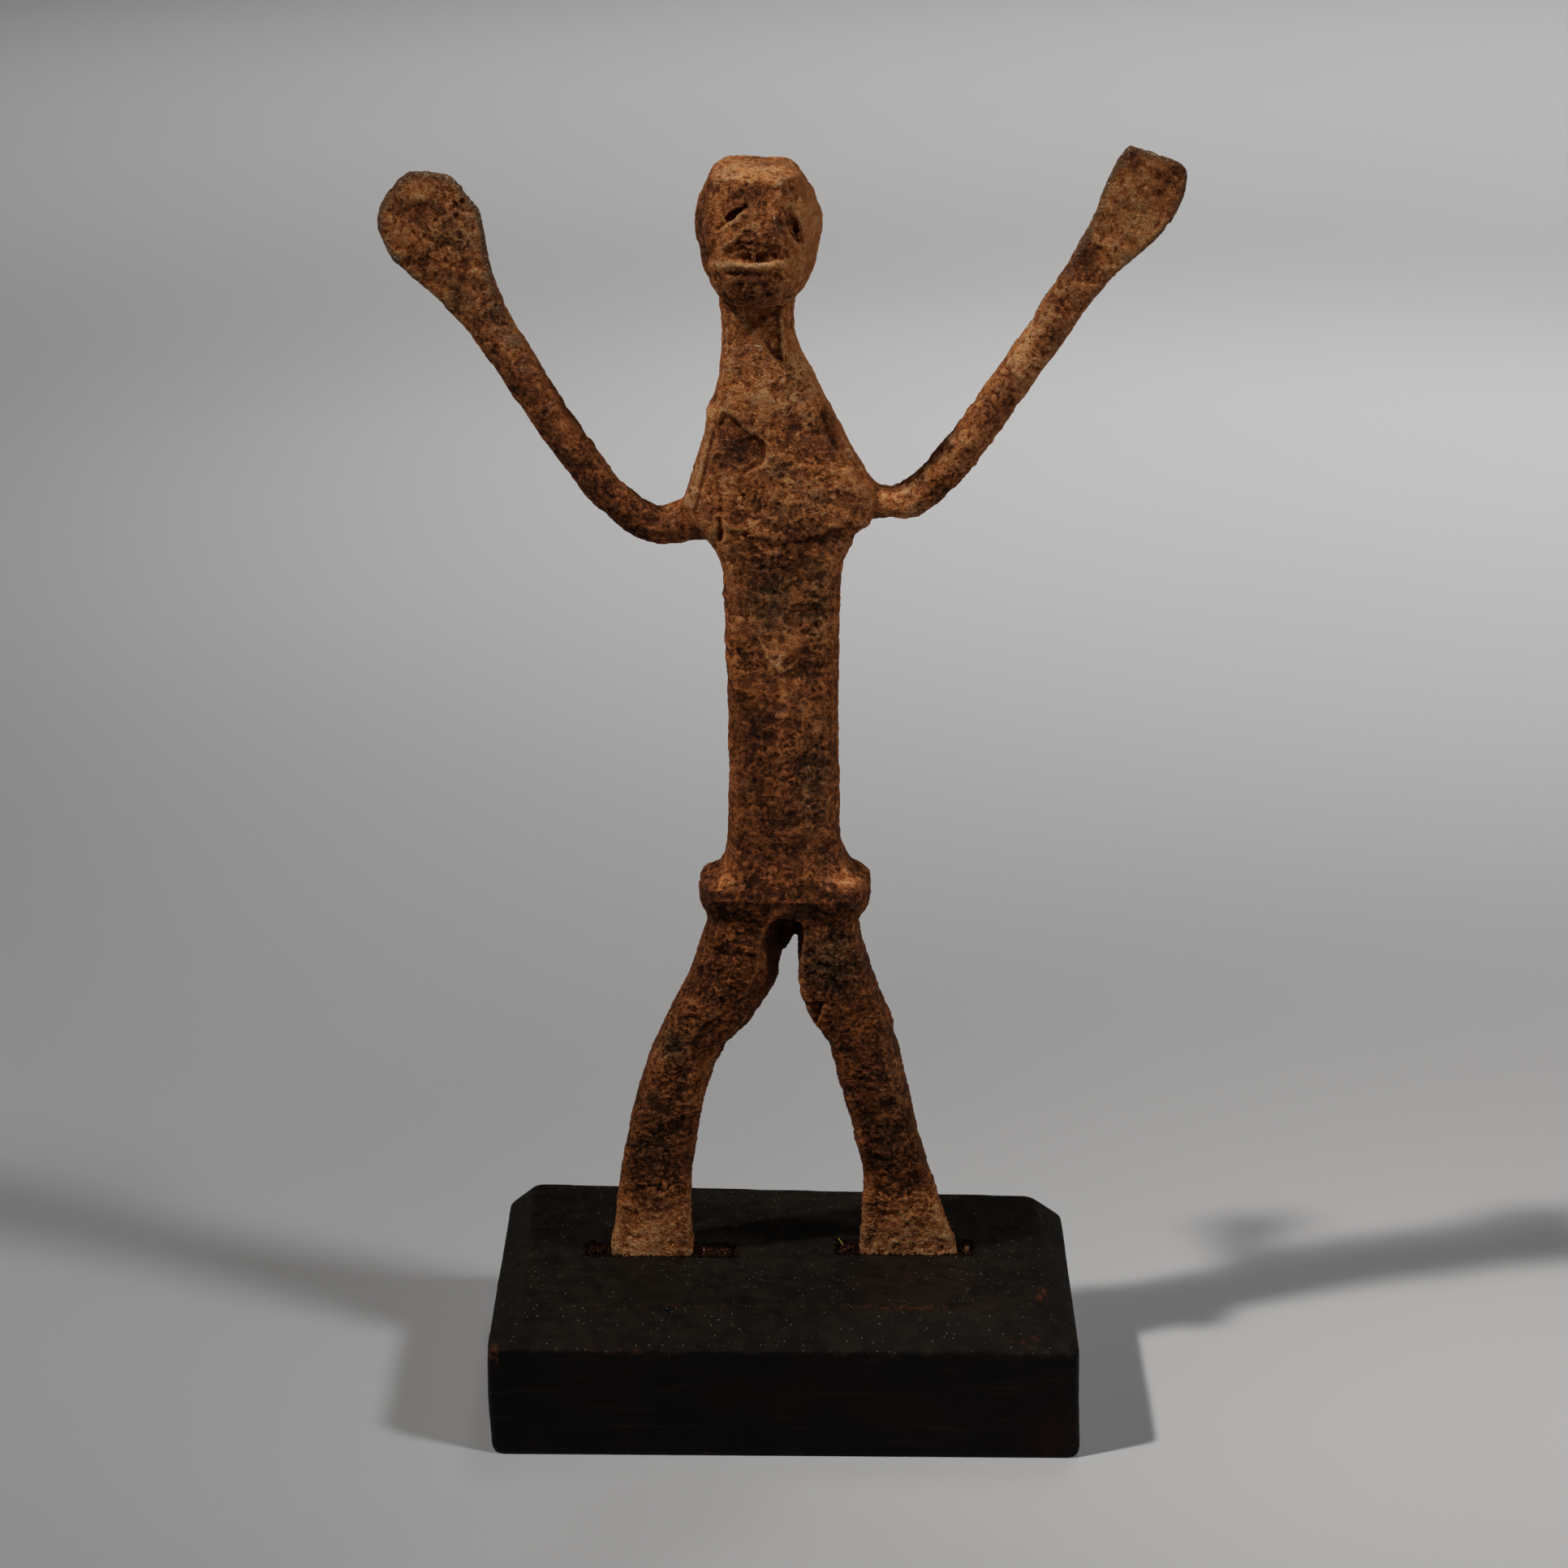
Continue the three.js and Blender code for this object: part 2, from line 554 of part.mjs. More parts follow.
function blockSolid() {
  const foot = blockOutline(0, BLOCK_FOOT_LEFT, BLOCK_FOOT_RIGHT, FOOT_EDGE_INSET);
  const aboveFoot = blockOutline(FOOT_EDGE_HEIGHT, BLOCK_FOOT_LEFT, BLOCK_FOOT_RIGHT, 0);
  const middle = blockOutline(BLOCK_EDGE_HEIGHT / 2, BLOCK_LEFT, BLOCK_RIGHT, -BLOCK_BULGE);
  const edge = blockOutline(BLOCK_EDGE_HEIGHT, BLOCK_LEFT, BLOCK_RIGHT, 0);
  const top = edge.map((p) => {
    const share = (p.x - BLOCK_LEFT) / (BLOCK_RIGHT - BLOCK_LEFT);
    const frontBevel = FRONT_BEVEL_LEFT + (FRONT_BEVEL_RIGHT - FRONT_BEVEL_LEFT) * share;
    const sideShare = p.y < 0 ? 1 : SIDE_BEVEL_AT_BACK;
    const x = p.x + (p.x < 0 ? LEFT_BEVEL : -RIGHT_BEVEL) * sideShare;
    const y = p.y + (p.y < 0 ? frontBevel : -BACK_BEVEL);
    return new THREE.Vector3(x, y, BLOCK_HEIGHT);
  });
  return solidOf(skin([foot, aboveFoot, middle, edge, top]));
}

function slotCut({ left, right, front, back }) {
  return solidOf(boxBetween(left, right, front, back, SLOT_BOTTOM, BLOCK_HEIGHT + CUT_OVERRUN));
}

function baseSolid() {
  return blockSolid().subtract(slotCut(LEFT_SLOT)).subtract(slotCut(RIGHT_SLOT));
}

function namedMesh(name, solid, material) {
  const mesh = new THREE.Mesh(geometryOf(solid), material);
  mesh.name = name;
  return mesh;
}

const lobiFigure = new THREE.Group();
lobiFigure.add(namedMesh("figure", figureSolid(), RUSTY_IRON));
lobiFigure.add(namedMesh("base", baseSolid(), BLACK_WOOD));

export default lobiFigure;
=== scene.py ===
# Looks of a small forged iron figure with raised arms on a black-stained wooden block.
# Lengths in the tables below are millimetres in the frame's own axes: +X right, -Y front, +Z up.

import itertools
import math

import bmesh
import bpy
import numpy as np
from mathutils import Matrix, Vector
from mathutils.bvhtree import BVHTree


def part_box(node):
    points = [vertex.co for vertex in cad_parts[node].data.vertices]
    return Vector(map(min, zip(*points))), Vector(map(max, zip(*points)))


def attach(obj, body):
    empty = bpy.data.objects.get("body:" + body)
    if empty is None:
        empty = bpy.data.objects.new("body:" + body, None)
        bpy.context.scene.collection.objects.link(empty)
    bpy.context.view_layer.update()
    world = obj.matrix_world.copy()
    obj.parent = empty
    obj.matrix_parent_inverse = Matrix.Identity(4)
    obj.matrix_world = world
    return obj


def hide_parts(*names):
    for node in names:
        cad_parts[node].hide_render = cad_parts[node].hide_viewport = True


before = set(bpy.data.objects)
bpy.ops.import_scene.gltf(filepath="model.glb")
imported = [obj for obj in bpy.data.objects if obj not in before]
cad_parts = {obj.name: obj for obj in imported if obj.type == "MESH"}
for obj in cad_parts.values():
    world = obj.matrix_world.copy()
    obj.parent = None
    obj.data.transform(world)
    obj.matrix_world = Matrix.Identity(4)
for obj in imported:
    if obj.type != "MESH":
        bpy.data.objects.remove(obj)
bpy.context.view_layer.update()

MM = 0.001

# Noise: a smooth random field made from hashed lattice gradients, the same on every run


def hashed(ix, iy, iz, seed):
    h = ix * np.uint32(374761393) + iy * np.uint32(668265263) + iz * np.uint32(2246822519)
    h = h + np.uint32(seed * 3266489917 & 0xFFFFFFFF)
    h = (h ^ (h >> np.uint32(15))) * np.uint32(2246822519)
    h = (h ^ (h >> np.uint32(13))) * np.uint32(3266489917)
    return h ^ (h >> np.uint32(16))


def corners(cell, offsets, seed):
    """Each lattice corner near the cells: its step and three numbers of 0 to 1023 hashed from it."""
    cell = cell.astype(np.int64).astype(np.uint32)
    for step in itertools.product(offsets, repeat=3):
        corner = cell + np.array(step).astype(np.uint32)
        h = hashed(*corner.T, seed)
        yield np.array(step), [((h >> np.uint32(k)) & np.uint32(1023)).astype(float) for k in (0, 10, 20)]


def noise(points, size, seed):
    """Noise of about -1 to 1 with bumps about size across."""
    cell = np.floor(points / size)
    within = points / size - cell
    ease = within * within * within * (within * (within * 6 - 15) + 10)
    total = np.zeros(len(points))
    for step, numbers in corners(cell, (0, 1), seed):
        away = within - step
        slopes = [number / 511.5 - 1 for number in numbers]
        reach = sum(way * slope for way, slope in zip(away.T, slopes))
        total += np.where(step, ease, 1 - ease).prod(axis=1) * reach
    return total * 1.3


def fractal(points, size, octaves, seed, roughness=0.5):
    total = np.zeros(len(points))
    share = 1.0
    for octave in range(octaves):
        total += share * noise(points, size / 2**octave, seed + octave)
        share *= roughness
    return total


def ridged(points, size, octaves, seed):
    """Noise with sharp crests, from 0 in the hollows to about 1 on the crests."""
    total = np.zeros(len(points))
    share = 1.0
    whole = 0.0
    for octave in range(octaves):
        total += share * (1 - np.abs(noise(points, size / 2**octave, seed + octave)) * 1.6)
        whole += share
        share *= 0.55
    return total / whole


def cells(points, size, seed):
    """Distances to the nearest two of randomly placed points, about size apart."""
    cell = np.floor(points / size)
    within = points / size - cell
    nearest = second = np.full(len(points), 9.0)
    for step, numbers in corners(cell, (-1, 0, 1), seed):
        gap = np.stack([number / 1023 for number in numbers], 1) + step - within
        distance = np.sqrt((gap * gap).sum(1))
        second = np.minimum(second, np.maximum(nearest, distance))
        nearest = np.minimum(nearest, distance)
    return nearest * size, second * size


def ramp(values, low, high):
    """Rises smoothly from 0 at low to 1 at high."""
    share = np.clip((values - low) / (high - low), 0, 1)
    return share * share * (3 - 2 * share)


# Meshes as arrays: points in millimetres and triangles, with their neighbours and normals


def read(items, name, size=1, kind=np.int32):
    """One property of all the items as an array."""
    values = np.empty(len(items) * size, kind)
    items.foreach_get(name, values)
    return values


class Surface:
    def __init__(self, piece):
        mesh = piece.data
        self.points = read(mesh.vertices, "co", 3, float).reshape(-1, 3) / MM
        self.pairs = read(mesh.edges, "vertices", 2).reshape(-1, 2)
        self.degree = np.bincount(self.pairs.ravel(), minlength=len(self.points))
        loops = read(mesh.loops, "vertex_index")
        starts = read(mesh.polygons, "loop_start")
        totals = read(mesh.polygons, "loop_total")
        triangles = []
        for corner in range(1, int(totals.max()) - 1):
            has = totals > corner + 1
            first = starts[has]
            triangles.append(np.stack((loops[first], loops[first + corner], loops[first + corner + 1]), 1))
        self.triangles = np.concatenate(triangles)

    def spread(self, values):
        """Each point's value becomes the mean of its neighbours' values."""
        values = values.reshape(len(self.points), -1)
        total = np.empty_like(values)
        for column in range(values.shape[1]):
            one = np.bincount(self.pairs[:, 0], values[self.pairs[:, 1], column], len(self.points))
            other = np.bincount(self.pairs[:, 1], values[self.pairs[:, 0], column], len(self.points))
            total[:, column] = (one + other) / self.degree
        return total.squeeze()

    def blurred(self, rounds, values=None):
        values = self.points if values is None else values
        for _ in range(rounds):
            values = (values + self.spread(values)) / 2
        return values

    def normals(self, points=None):
        points = self.points if points is None else points
        a, b, c = (points[self.triangles[:, k]] for k in range(3))
        face = np.cross(b - a, c - a)
        total = np.empty_like(points)
        for axis in range(3):
            parts = [np.bincount(self.triangles[:, k], face[:, axis], len(points)) for k in range(3)]
            total[:, axis] = sum(parts)
        return total / np.maximum(np.linalg.norm(total, axis=1, keepdims=True), 1e-12)


def add_object(name, data):
    thing = bpy.data.objects.new(name, data)
    bpy.context.scene.collection.objects.link(thing)
    return thing


def built(name, build):
    """The object whose mesh has been put together in build."""
    mesh = bpy.data.meshes.new(name)
    build.to_mesh(mesh)
    build.free()
    return add_object(name, mesh)


def evaluated(piece):
    """The piece's mesh with its modifiers carried out, or a curve's as a mesh."""
    depsgraph = bpy.context.evaluated_depsgraph_get()
    return bpy.data.meshes.new_from_object(piece.evaluated_get(depsgraph))


def cad_copy(node, name):
    """A new object with the CAD node's shape and joined-up corners."""
    build = bmesh.new()
    build.from_mesh(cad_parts[node].data)
    bmesh.ops.remove_doubles(build, verts=build.verts, dist=1e-6)
    return built(name, build)


def with_modifier(piece, kind, **settings):
    """Adds a modifier and applies it to the mesh at once."""
    modifier = piece.modifiers.new(kind, kind)
    for key, value in settings.items():
        setattr(modifier, key, value)
    mesh = evaluated(piece)
    piece.modifiers.clear()
    piece.data = mesh


def set_points(piece, points):
    piece.data.vertices.foreach_set("co", (points * MM).ravel())
    piece.data.update()


def store(piece, **facts):
    """Keeps facts of 0 to 1 at each point, for the material to read."""
    for name, values in facts.items():
        attribute = piece.data.attributes.new(name, "FLOAT", "POINT")
        attribute.data.foreach_set("value", np.clip(values, 0, 1).astype(np.float32))


# Marks on the figure, placed by their x and z in the front view, and a few in space


def shifted(at, across, up):
    """The points moved sideways and up in the front view."""
    return at + np.stack((across, 0 * across, up), 1)


def along(points, route):
    """Distance to a route in the front view, its side (positive is left) and a taper to its ends."""
    best = np.full(len(points), 1e9)
    side = np.zeros(len(points))
    reached = np.zeros(len(points))
    start = 0.0
    for (x0, z0), (x1, z1) in zip(route[:-1], route[1:]):
        dx, dz = x1 - x0, z1 - z0
        length = math.hypot(dx, dz)
        share = np.clip(((points[:, 0] - x0) * dx + (points[:, 2] - z0) * dz) / length**2, 0, 1)
        gap_x = points[:, 0] - x0 - share * dx
        gap_z = points[:, 2] - z0 - share * dz
        distance = np.hypot(gap_x, gap_z)
        closer = distance < best
        best = np.where(closer, distance, best)
        side = np.where(closer, np.sign(dx * gap_z - dz * gap_x), side)
        reached = np.where(closer, start + share * length, reached)
        start += length
    taper = ramp(reached, 0, 0.1 * start) * ramp(start - reached, 0, 0.1 * start)
    return best, side, taper


def rib(points, route, height, width):
    """A raised line, or a groove where the height is negative."""
    distance, _, taper = along(points, route)
    return height * np.exp(-((distance / width) ** 2)) * taper


def ledge(points, route, rise, drop, reach, edge=0.35):
    """A ledge: the route's left side stands up at it and its right side is sunk, both fading out."""
    distance, side, taper = along(points, route)
    signed = distance * side
    fade = np.exp(-distance / reach) * taper
    high = ramp(signed, -edge, edge)
    return fade * (high * rise - (1 - high) * drop)


def patch(points, x, z, width, height, tilt=0.0):
    """1 in the middle of a soft oval in the front view, fading to 0 outside."""
    turn = math.radians(tilt)
    across = (points[:, 0] - x) * math.cos(turn) + (points[:, 2] - z) * math.sin(turn)
    up = (points[:, 2] - z) * math.cos(turn) - (points[:, 0] - x) * math.sin(turn)
    return np.exp(-((across / width) ** 2) - (up / height) ** 2)


def near(at, place, reach):
    """1 at a place and fading to 0 beyond its reach along each axis."""
    return np.exp(-((((at - place) / reach) ** 2).sum(1)))


def inside(points, outline, edge):
    """1 inside a closed outline in the front view and 0 outside, with a soft edge."""
    x, z = points[:, 0], points[:, 2]
    within = np.zeros(len(points), bool)
    closed = (*outline, outline[0])
    for (x0, z0), (x1, z1) in zip(closed[:-1], closed[1:]):
        if z0 != z1:
            crosses = (z0 > z) != (z1 > z)
            within ^= crosses & (x < (x1 - x0) * (z - z0) / (z1 - z0) + x0)
    distance = along(points, closed)[0]
    return ramp(np.where(within, distance, -distance), -edge, edge)


# Head: ridge, brow, lids, arched recess over the mouth, small holes in it, lip band and chin

HEAD_RIDGE = ((-0.7, 271.8), (-0.9, 269.2), (-1.4, 267), (-1.7, 264.4), (-1.3, 261.2))
BROW_EDGE = ((-14.9, 271.3), (-11, 271.8), (-6, 272.1), (0, 272), (2.8, 271.6))
LEFT_FACET_EDGE = ((-13.2, 273.8), (-12.8, 272.8), (-13.2, 271.5))
LEFT_LID = ((-7.4, 266.2), (-9.8, 263.8), (-13, 261.8))
LEFT_EYE_SLIT = ((-7.2, 267.1), (-9.6, 265.3), (-12, 263.3), (-14.4, 261.6))
RIGHT_EYE_GROOVE = ((0.3, 265.4), (1.1, 262.8), (2.4, 260.4), (3.6, 258.8))
RIGHT_EYE = ((0, 265.9), (1.5, 266), (2.7, 264.2), (3.8, 261.6), (4.3, 258.8), (3.4, 258.4), (2, 260.2),
             (0.8, 262.8))
NOSE_FOLD = ((-12.4, 258.6), (-10.1, 260), (-8.2, 262.2), (-6.8, 262.9))
MOUTH = ((-12.2, 256.2), (-12.1, 258), (-10, 259.6), (-8.2, 261.6), (-6.6, 262), (-5.4, 260.8),
         (-3.8, 259.4), (-0.6, 258.4), (1.2, 257.4), (1.2, 256), (-2, 255.5), (-6, 255.2), (-9.6, 255.5))
MOUTH_HOLES = ((-8.4, 256.4), (-5.7, 256.2), (-4.6, 256), (-2, 256.4))
LIP = ((-16, 254.2), (-11, 254.7), (-5, 254.5), (1.6, 254.5))
UNDER_LIP = ((-12.4, 252.7), (-10, 253.2), (-5.6, 253), (-3.6, 253.2), (-0.4, 252.6))


def face_marks(at):
    wobble = shifted(at, 0.28 * noise(at, 1.5, 65), 0.28 * noise(at, 1.5, 66))
    uneven = 0.65 + 0.5 * fractal(at, 1.6, 2, 67)
    low = ramp(-at[:, 2], -259.8, -256.8)
    height = (
        rib(wobble, HEAD_RIDGE, 0.42, 0.55) * uneven
        + rib(at, BROW_EDGE, 0.42, 0.42) + rib(at, LEFT_FACET_EDGE, -0.3, 0.4)
        + rib(wobble, LEFT_LID, 0.35, 0.5) + rib(wobble, LEFT_EYE_SLIT, -0.75, 0.42)
        + rib(wobble, RIGHT_EYE_GROOVE, -0.25, 0.45)
        + inside(wobble, RIGHT_EYE, 0.35) * (0.3 * ridged(at, 1.1, 2, 53) - 0.75)
        + rib(wobble, NOSE_FOLD, 0.4, 0.5) * uneven
        + inside(wobble, MOUTH, 0.5) * (0.6 * ridged(at, 1.3, 3, 51) - 0.7 - 0.25 * low)
    )
    for x, z in MOUTH_HOLES:
        height -= 0.6 * patch(wobble, x, z, 0.5, 0.4)
    height += rib(wobble, LIP, 0.32, 0.7) * (0.1 + 1.3 * ridged(at, 1.2, 2, 52))
    height += rib(wobble, UNDER_LIP, -0.3, 0.6)
    height += patch(at, -5.2, 249.4, 7, 3)
    height -= 0.3 * patch(at, -13, 265, 2.4, 3.4)
    return height


# Neck and trunk: throat ridge, torn upper layer on the chest, ledges, flakes and the armpit crack

THROAT_RIDGE = ((-0.7, 246), (-0.6, 240), (-0.4, 234))
CHEST_STEP = ((-13.9, 223.2), (-11, 221.9), (-8.5, 219.6), (-4.5, 217.1), (-3.4, 215.7), (-4.8, 212.4),
              (-8.5, 209.6))
# The chest's left bevel, which faces the light: its lighter colour is partly painted highlight
LEFT_LIT_STRIP = ((-16.6, 224), (-22.6, 203.4), (-18.7, 202.6), (-14.1, 223))
LEFT_STRIP_EDGE = ((-13.9, 225), (-14.1, 223), (-18.7, 202.6), (-19.4, 199.6))
RIGHT_SCAR = ((7.6, 224.4), (9.4, 218.8), (12.6, 214.4), (15.4, 210.6), (17.4, 207))
RIGHT_SCAR_EDGE = ((8.6, 224.8), (10.6, 219), (14, 214.6), (17, 210.2))
CHEST_LEDGE = ((1.6, 195.8), (5, 196.6), (9.5, 197.8), (14.6, 200.2))
LEFT_LEDGE = ((-14, 198.6), (-8.7, 197.7), (-4, 196.4), (1.4, 195.8))
ARMPIT_CRACK = ((-13.6, 201), (-13.3, 198.4), (-13.2, 195.4))
RIGHT_SPUR = ((16.9, 200.4), (16.4, 197.4), (14.4, 193.9), (12.4, 190.4))
FLAKE = ((-6.2, 176), (-3.6, 170.2), (-0.8, 167.2), (1.6, 168.2), (4.2, 171.4))
STREAK = ((-3, 172), (-0.4, 165), (0.9, 158), (-0.4, 150), (-1, 144))


def trunk_marks(at):
    wobble = shifted(at, 0.7 * fractal(at, 2.8, 3, 61), 0.7 * fractal(at, 2.8, 3, 62))
    return (
        rib(wobble, THROAT_RIDGE, 0.2, 0.6) + ledge(wobble, CHEST_STEP, 0.35, 0.85, 5.5, 0.3)
        + rib(at, LEFT_STRIP_EDGE, -0.3, 0.55)
        + rib(wobble, RIGHT_SCAR, -0.75, 1.1) + rib(wobble, RIGHT_SCAR_EDGE, 0.35, 0.6)
        + ledge(wobble, CHEST_LEDGE, 0.6, 0.3, 3, 0.8) + ledge(wobble, LEFT_LEDGE, 0.25, 0.15, 2.6, 1)
        + rib(wobble, ARMPIT_CRACK, -0.7, 0.5)
        + rib(wobble, [(x + 1.2, z) for x, z in ARMPIT_CRACK], 0.4, 0.7)
        + rib(wobble, RIGHT_SPUR, 0.5, 0.8)
        + (ledge(wobble, FLAKE, 0, 0.5, 3.2, 0.3) + rib(wobble, FLAKE, 0.3, 0.6))
        + rib(wobble, STREAK, 0.22, 1.8)
    )


# Legs: the fold where each thigh's front face turns inwards, and the torn notch on the right thigh

LEFT_FOLD = ((-4.9, 109.6), (-5, 104), (-5.7, 98.8), (-8.4, 93.4), (-12.7, 90.1), (-17.7, 86.8),
             (-20.2, 82.6), (-20.9, 76))
LEFT_INNER_EDGE = ((-20.9, 76), (-21, 69.5), (-22, 58), (-22.2, 47.6), (-22, 34))
RIGHT_FOLD = ((3.6, 110), (3.7, 103), (4.4, 95), (5.4, 91.6))
RIGHT_NOTCH = ((4.6, 91.9), (8.4, 92.6), (7.6, 89.6), (6.6, 86.4))
HIP_LEFT_RIDGE = ((-17.6, 119.4), (-14.4, 118.9), (-10.4, 119.4), (-7, 120))
HIP_RIGHT_RIDGE = ((6.8, 119.9), (10.4, 119.3), (14.6, 119.1), (17.8, 120.4))


def leg_marks(at):
    wobble = shifted(at, 0.4 * noise(at, 3, 63), 0.4 * noise(at, 3, 64))
    return (
        ledge(wobble, LEFT_FOLD[::-1], 0.3, 0.9, 3.4, 0.8) + rib(wobble, LEFT_INNER_EDGE, 0.2, 0.9)
        + rib(wobble, RIGHT_FOLD, 0.3, 0.8) - 1.3 * inside(wobble, RIGHT_NOTCH, 0.4)
        + rib(at, HIP_LEFT_RIDGE, 0.35, 0.8) + rib(at, HIP_RIGHT_RIDGE, 0.35, 0.8)
        + (0.3 * patch(at, -26.6, 77.4, 3, 2.2) - 0.35 * patch(at, -24.6, 82, 3.4, 2.8, 30))
    )


# Surface of the whole figure

FIGURE_VOXEL = 0.32
FIGURE_TRIANGLES = 197000
BACK_KEPT = 0.2
BACK_FACING = 0.3
FACING_ROUNDS = 12
EDGE_ROUNDS = 3
CREASE_ROUNDS = 70
CREASE_FILL = 0.9
NORMAL_ROUNDS = 9
BOX_MARGIN = 0.02
# Cuts that are only half filled: middle x and z, half width, half height and the share filled
SOFT_CUTS = ((2, 262, 5, 8, 1.6), (-4.9, 256.5, 6, 2.4, 0.85), (-3, 240, 9, 12, 1.2))
# Spurs and notches that show in the outline: place, reach along each axis and rise
SPURS = (
    ((17.4, 2, 199), (2.4, 7, 1.5), 0.8), ((15.6, 2, 196), (2, 7, 1.3), -0.7),
    ((-12.6, 1, 183), (1.2, 2.6, 0.8), 0.6), ((-15.6, 2, 225.4), (1.6, 6, 1.4), -0.5),
    ((-17, 2, 222.6), (1.6, 6, 1.2), 0.5),
)


def fill_creases(surface):
    """Fills the sharp hollows where two bars meet, and leaves outer edges as they are."""
    rounded = surface.blurred(CREASE_ROUNDS)
    normal = surface.normals(rounded)
    lift = ((rounded - surface.points) * normal).sum(1)
    surface.points += normal * (np.clip(lift, 0, CREASE_FILL) * fill_share(surface.points))[:, None]


def fill_share(points):
    """1 where a crease is filled, and less at the eyes, mouth, throat and split, which are real cuts."""
    head = ramp(points[:, 2], 232, 236) * ramp(-points[:, 1], -1, 2)
    split = patch(points, -1, 103, 9, 10)
    share = (1 - head) * (1 - 0.8 * split)
    for x, z, width, height, soft in SOFT_CUTS:
        share = np.maximum(share, np.minimum(soft * patch(points, x, z, width, height), 1))
    return share


def hammered(at):
    """Broad, shallow hammer facets and the slow waviness of hand forging."""
    nearest, second = cells(at, 9, 11)
    facet = ramp(second - nearest, 0, 3)
    return 0.25 * fractal(at, 14, 2, 12) + 0.16 * (facet - 0.6) - 0.12


def flake_layers(at):
    """Thin layers of rust with ragged edges, wide and narrow: 1 where the layer is still there."""
    flat = at * (1, 1, 1.4)
    wide = noise(flat, 7, 34) + 0.45 * noise(at, 1.6, 35) + 0.25 * noise(at, 0.7, 38)
    narrow = noise(flat, 2.8, 39) + 0.4 * noise(at, 0.8, 40)
    return ramp(wide, -0.06, 0.06), ramp(narrow, -0.08, 0.08)


def crust(at, front):
    """Corroded skin: low lumps, grains, pits and thin flakes, and a coarse crinkle on the legs."""
    legs = ramp(at[:, 2], 124, 100)
    foot = ramp(at[:, 2], 48, 40)
    squeezed = at * (1, 1, 1.5)
    warped = squeezed + 0.9 * np.stack([noise(squeezed, 2.6, 70 + k) for k in range(3)], 1)
    crinkle = ridged(warped, 2.8, 3, 73)
    lumps = fractal(at, 4.2, 4, 31, 0.55)
    nearest, second = cells(warped, 1.5, 32)
    grains = ramp(second - nearest, 0, 0.8)
    pits = ramp(fractal(at, 1.8, 2, 33), 0.3, 0.7)
    wide, narrow = flake_layers(at)
    calm = 1 - 0.6 * front * patch(at, 5.4, 261, 4, 9)
    height = 0.2 * lumps + (0.05 + 0.08 * legs) * (grains - 0.6) - 0.24 * pits
    height += 0.15 * (wide - 0.5) + 0.09 * (narrow - 0.5) + 0.12 * fractal(at, 1.2, 2, 44)
    height += (0.05 + 0.2 * legs * (1 - 0.4 * foot)) * (crinkle - 0.6)
    rough = 0.7 + 0.4 * ramp(noise(at, 14, 37), -0.4, 0.4)
    return height * rough * calm


def thinned(piece, count):
    """Brings the mesh to a number of triangles, and keeps the front finer than the plainer back."""
    surface = Surface(piece)
    facing = surface.normals(surface.blurred(FACING_ROUNDS))[:, 1]
    back = np.flatnonzero(facing > BACK_FACING)
    group = piece.vertex_groups.new(name="back")
    group.add(back.tolist(), 1.0, "REPLACE")
    share = len(back) / len(surface.points)
    with_modifier(piece, "DECIMATE", ratio=1 - share * (1 - BACK_KEPT), vertex_group="back")
    piece.vertex_groups.clear()
    with_modifier(piece, "DECIMATE", ratio=min(1.0, count / len(piece.data.polygons)))


def outline_spurs(at):
    height = np.zeros(len(at))
    for place, reach, rise in SPURS:
        height += rise * near(at, place, reach)
    return height


def sculpted_figure():
    piece = cad_copy("figure", "iron_figure")
    with_modifier(piece, "REMESH", mode="VOXEL", voxel_size=FIGURE_VOXEL * MM)
    surface = Surface(piece)
    surface.points = surface.blurred(EDGE_ROUNDS)
    fill_creases(surface)
    at = surface.points
    normal = surface.normals(surface.blurred(NORMAL_ROUNDS))
    front = ramp(-normal[:, 1], 0.05, 0.45)
    height = hammered(at) + crust(at, front) + outline_spurs(at)
    height += front * (face_marks(at) + trunk_marks(at) + leg_marks(at))
    lowest, highest = np.array(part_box("figure")) / MM
    forged = at + normal * height[:, None]
    set_points(piece, np.clip(forged, lowest + BOX_MARGIN, highest - BOX_MARGIN))
    with_modifier(piece, "TRIANGULATE")
    thinned(piece, FIGURE_TRIANGLES)
    return piece
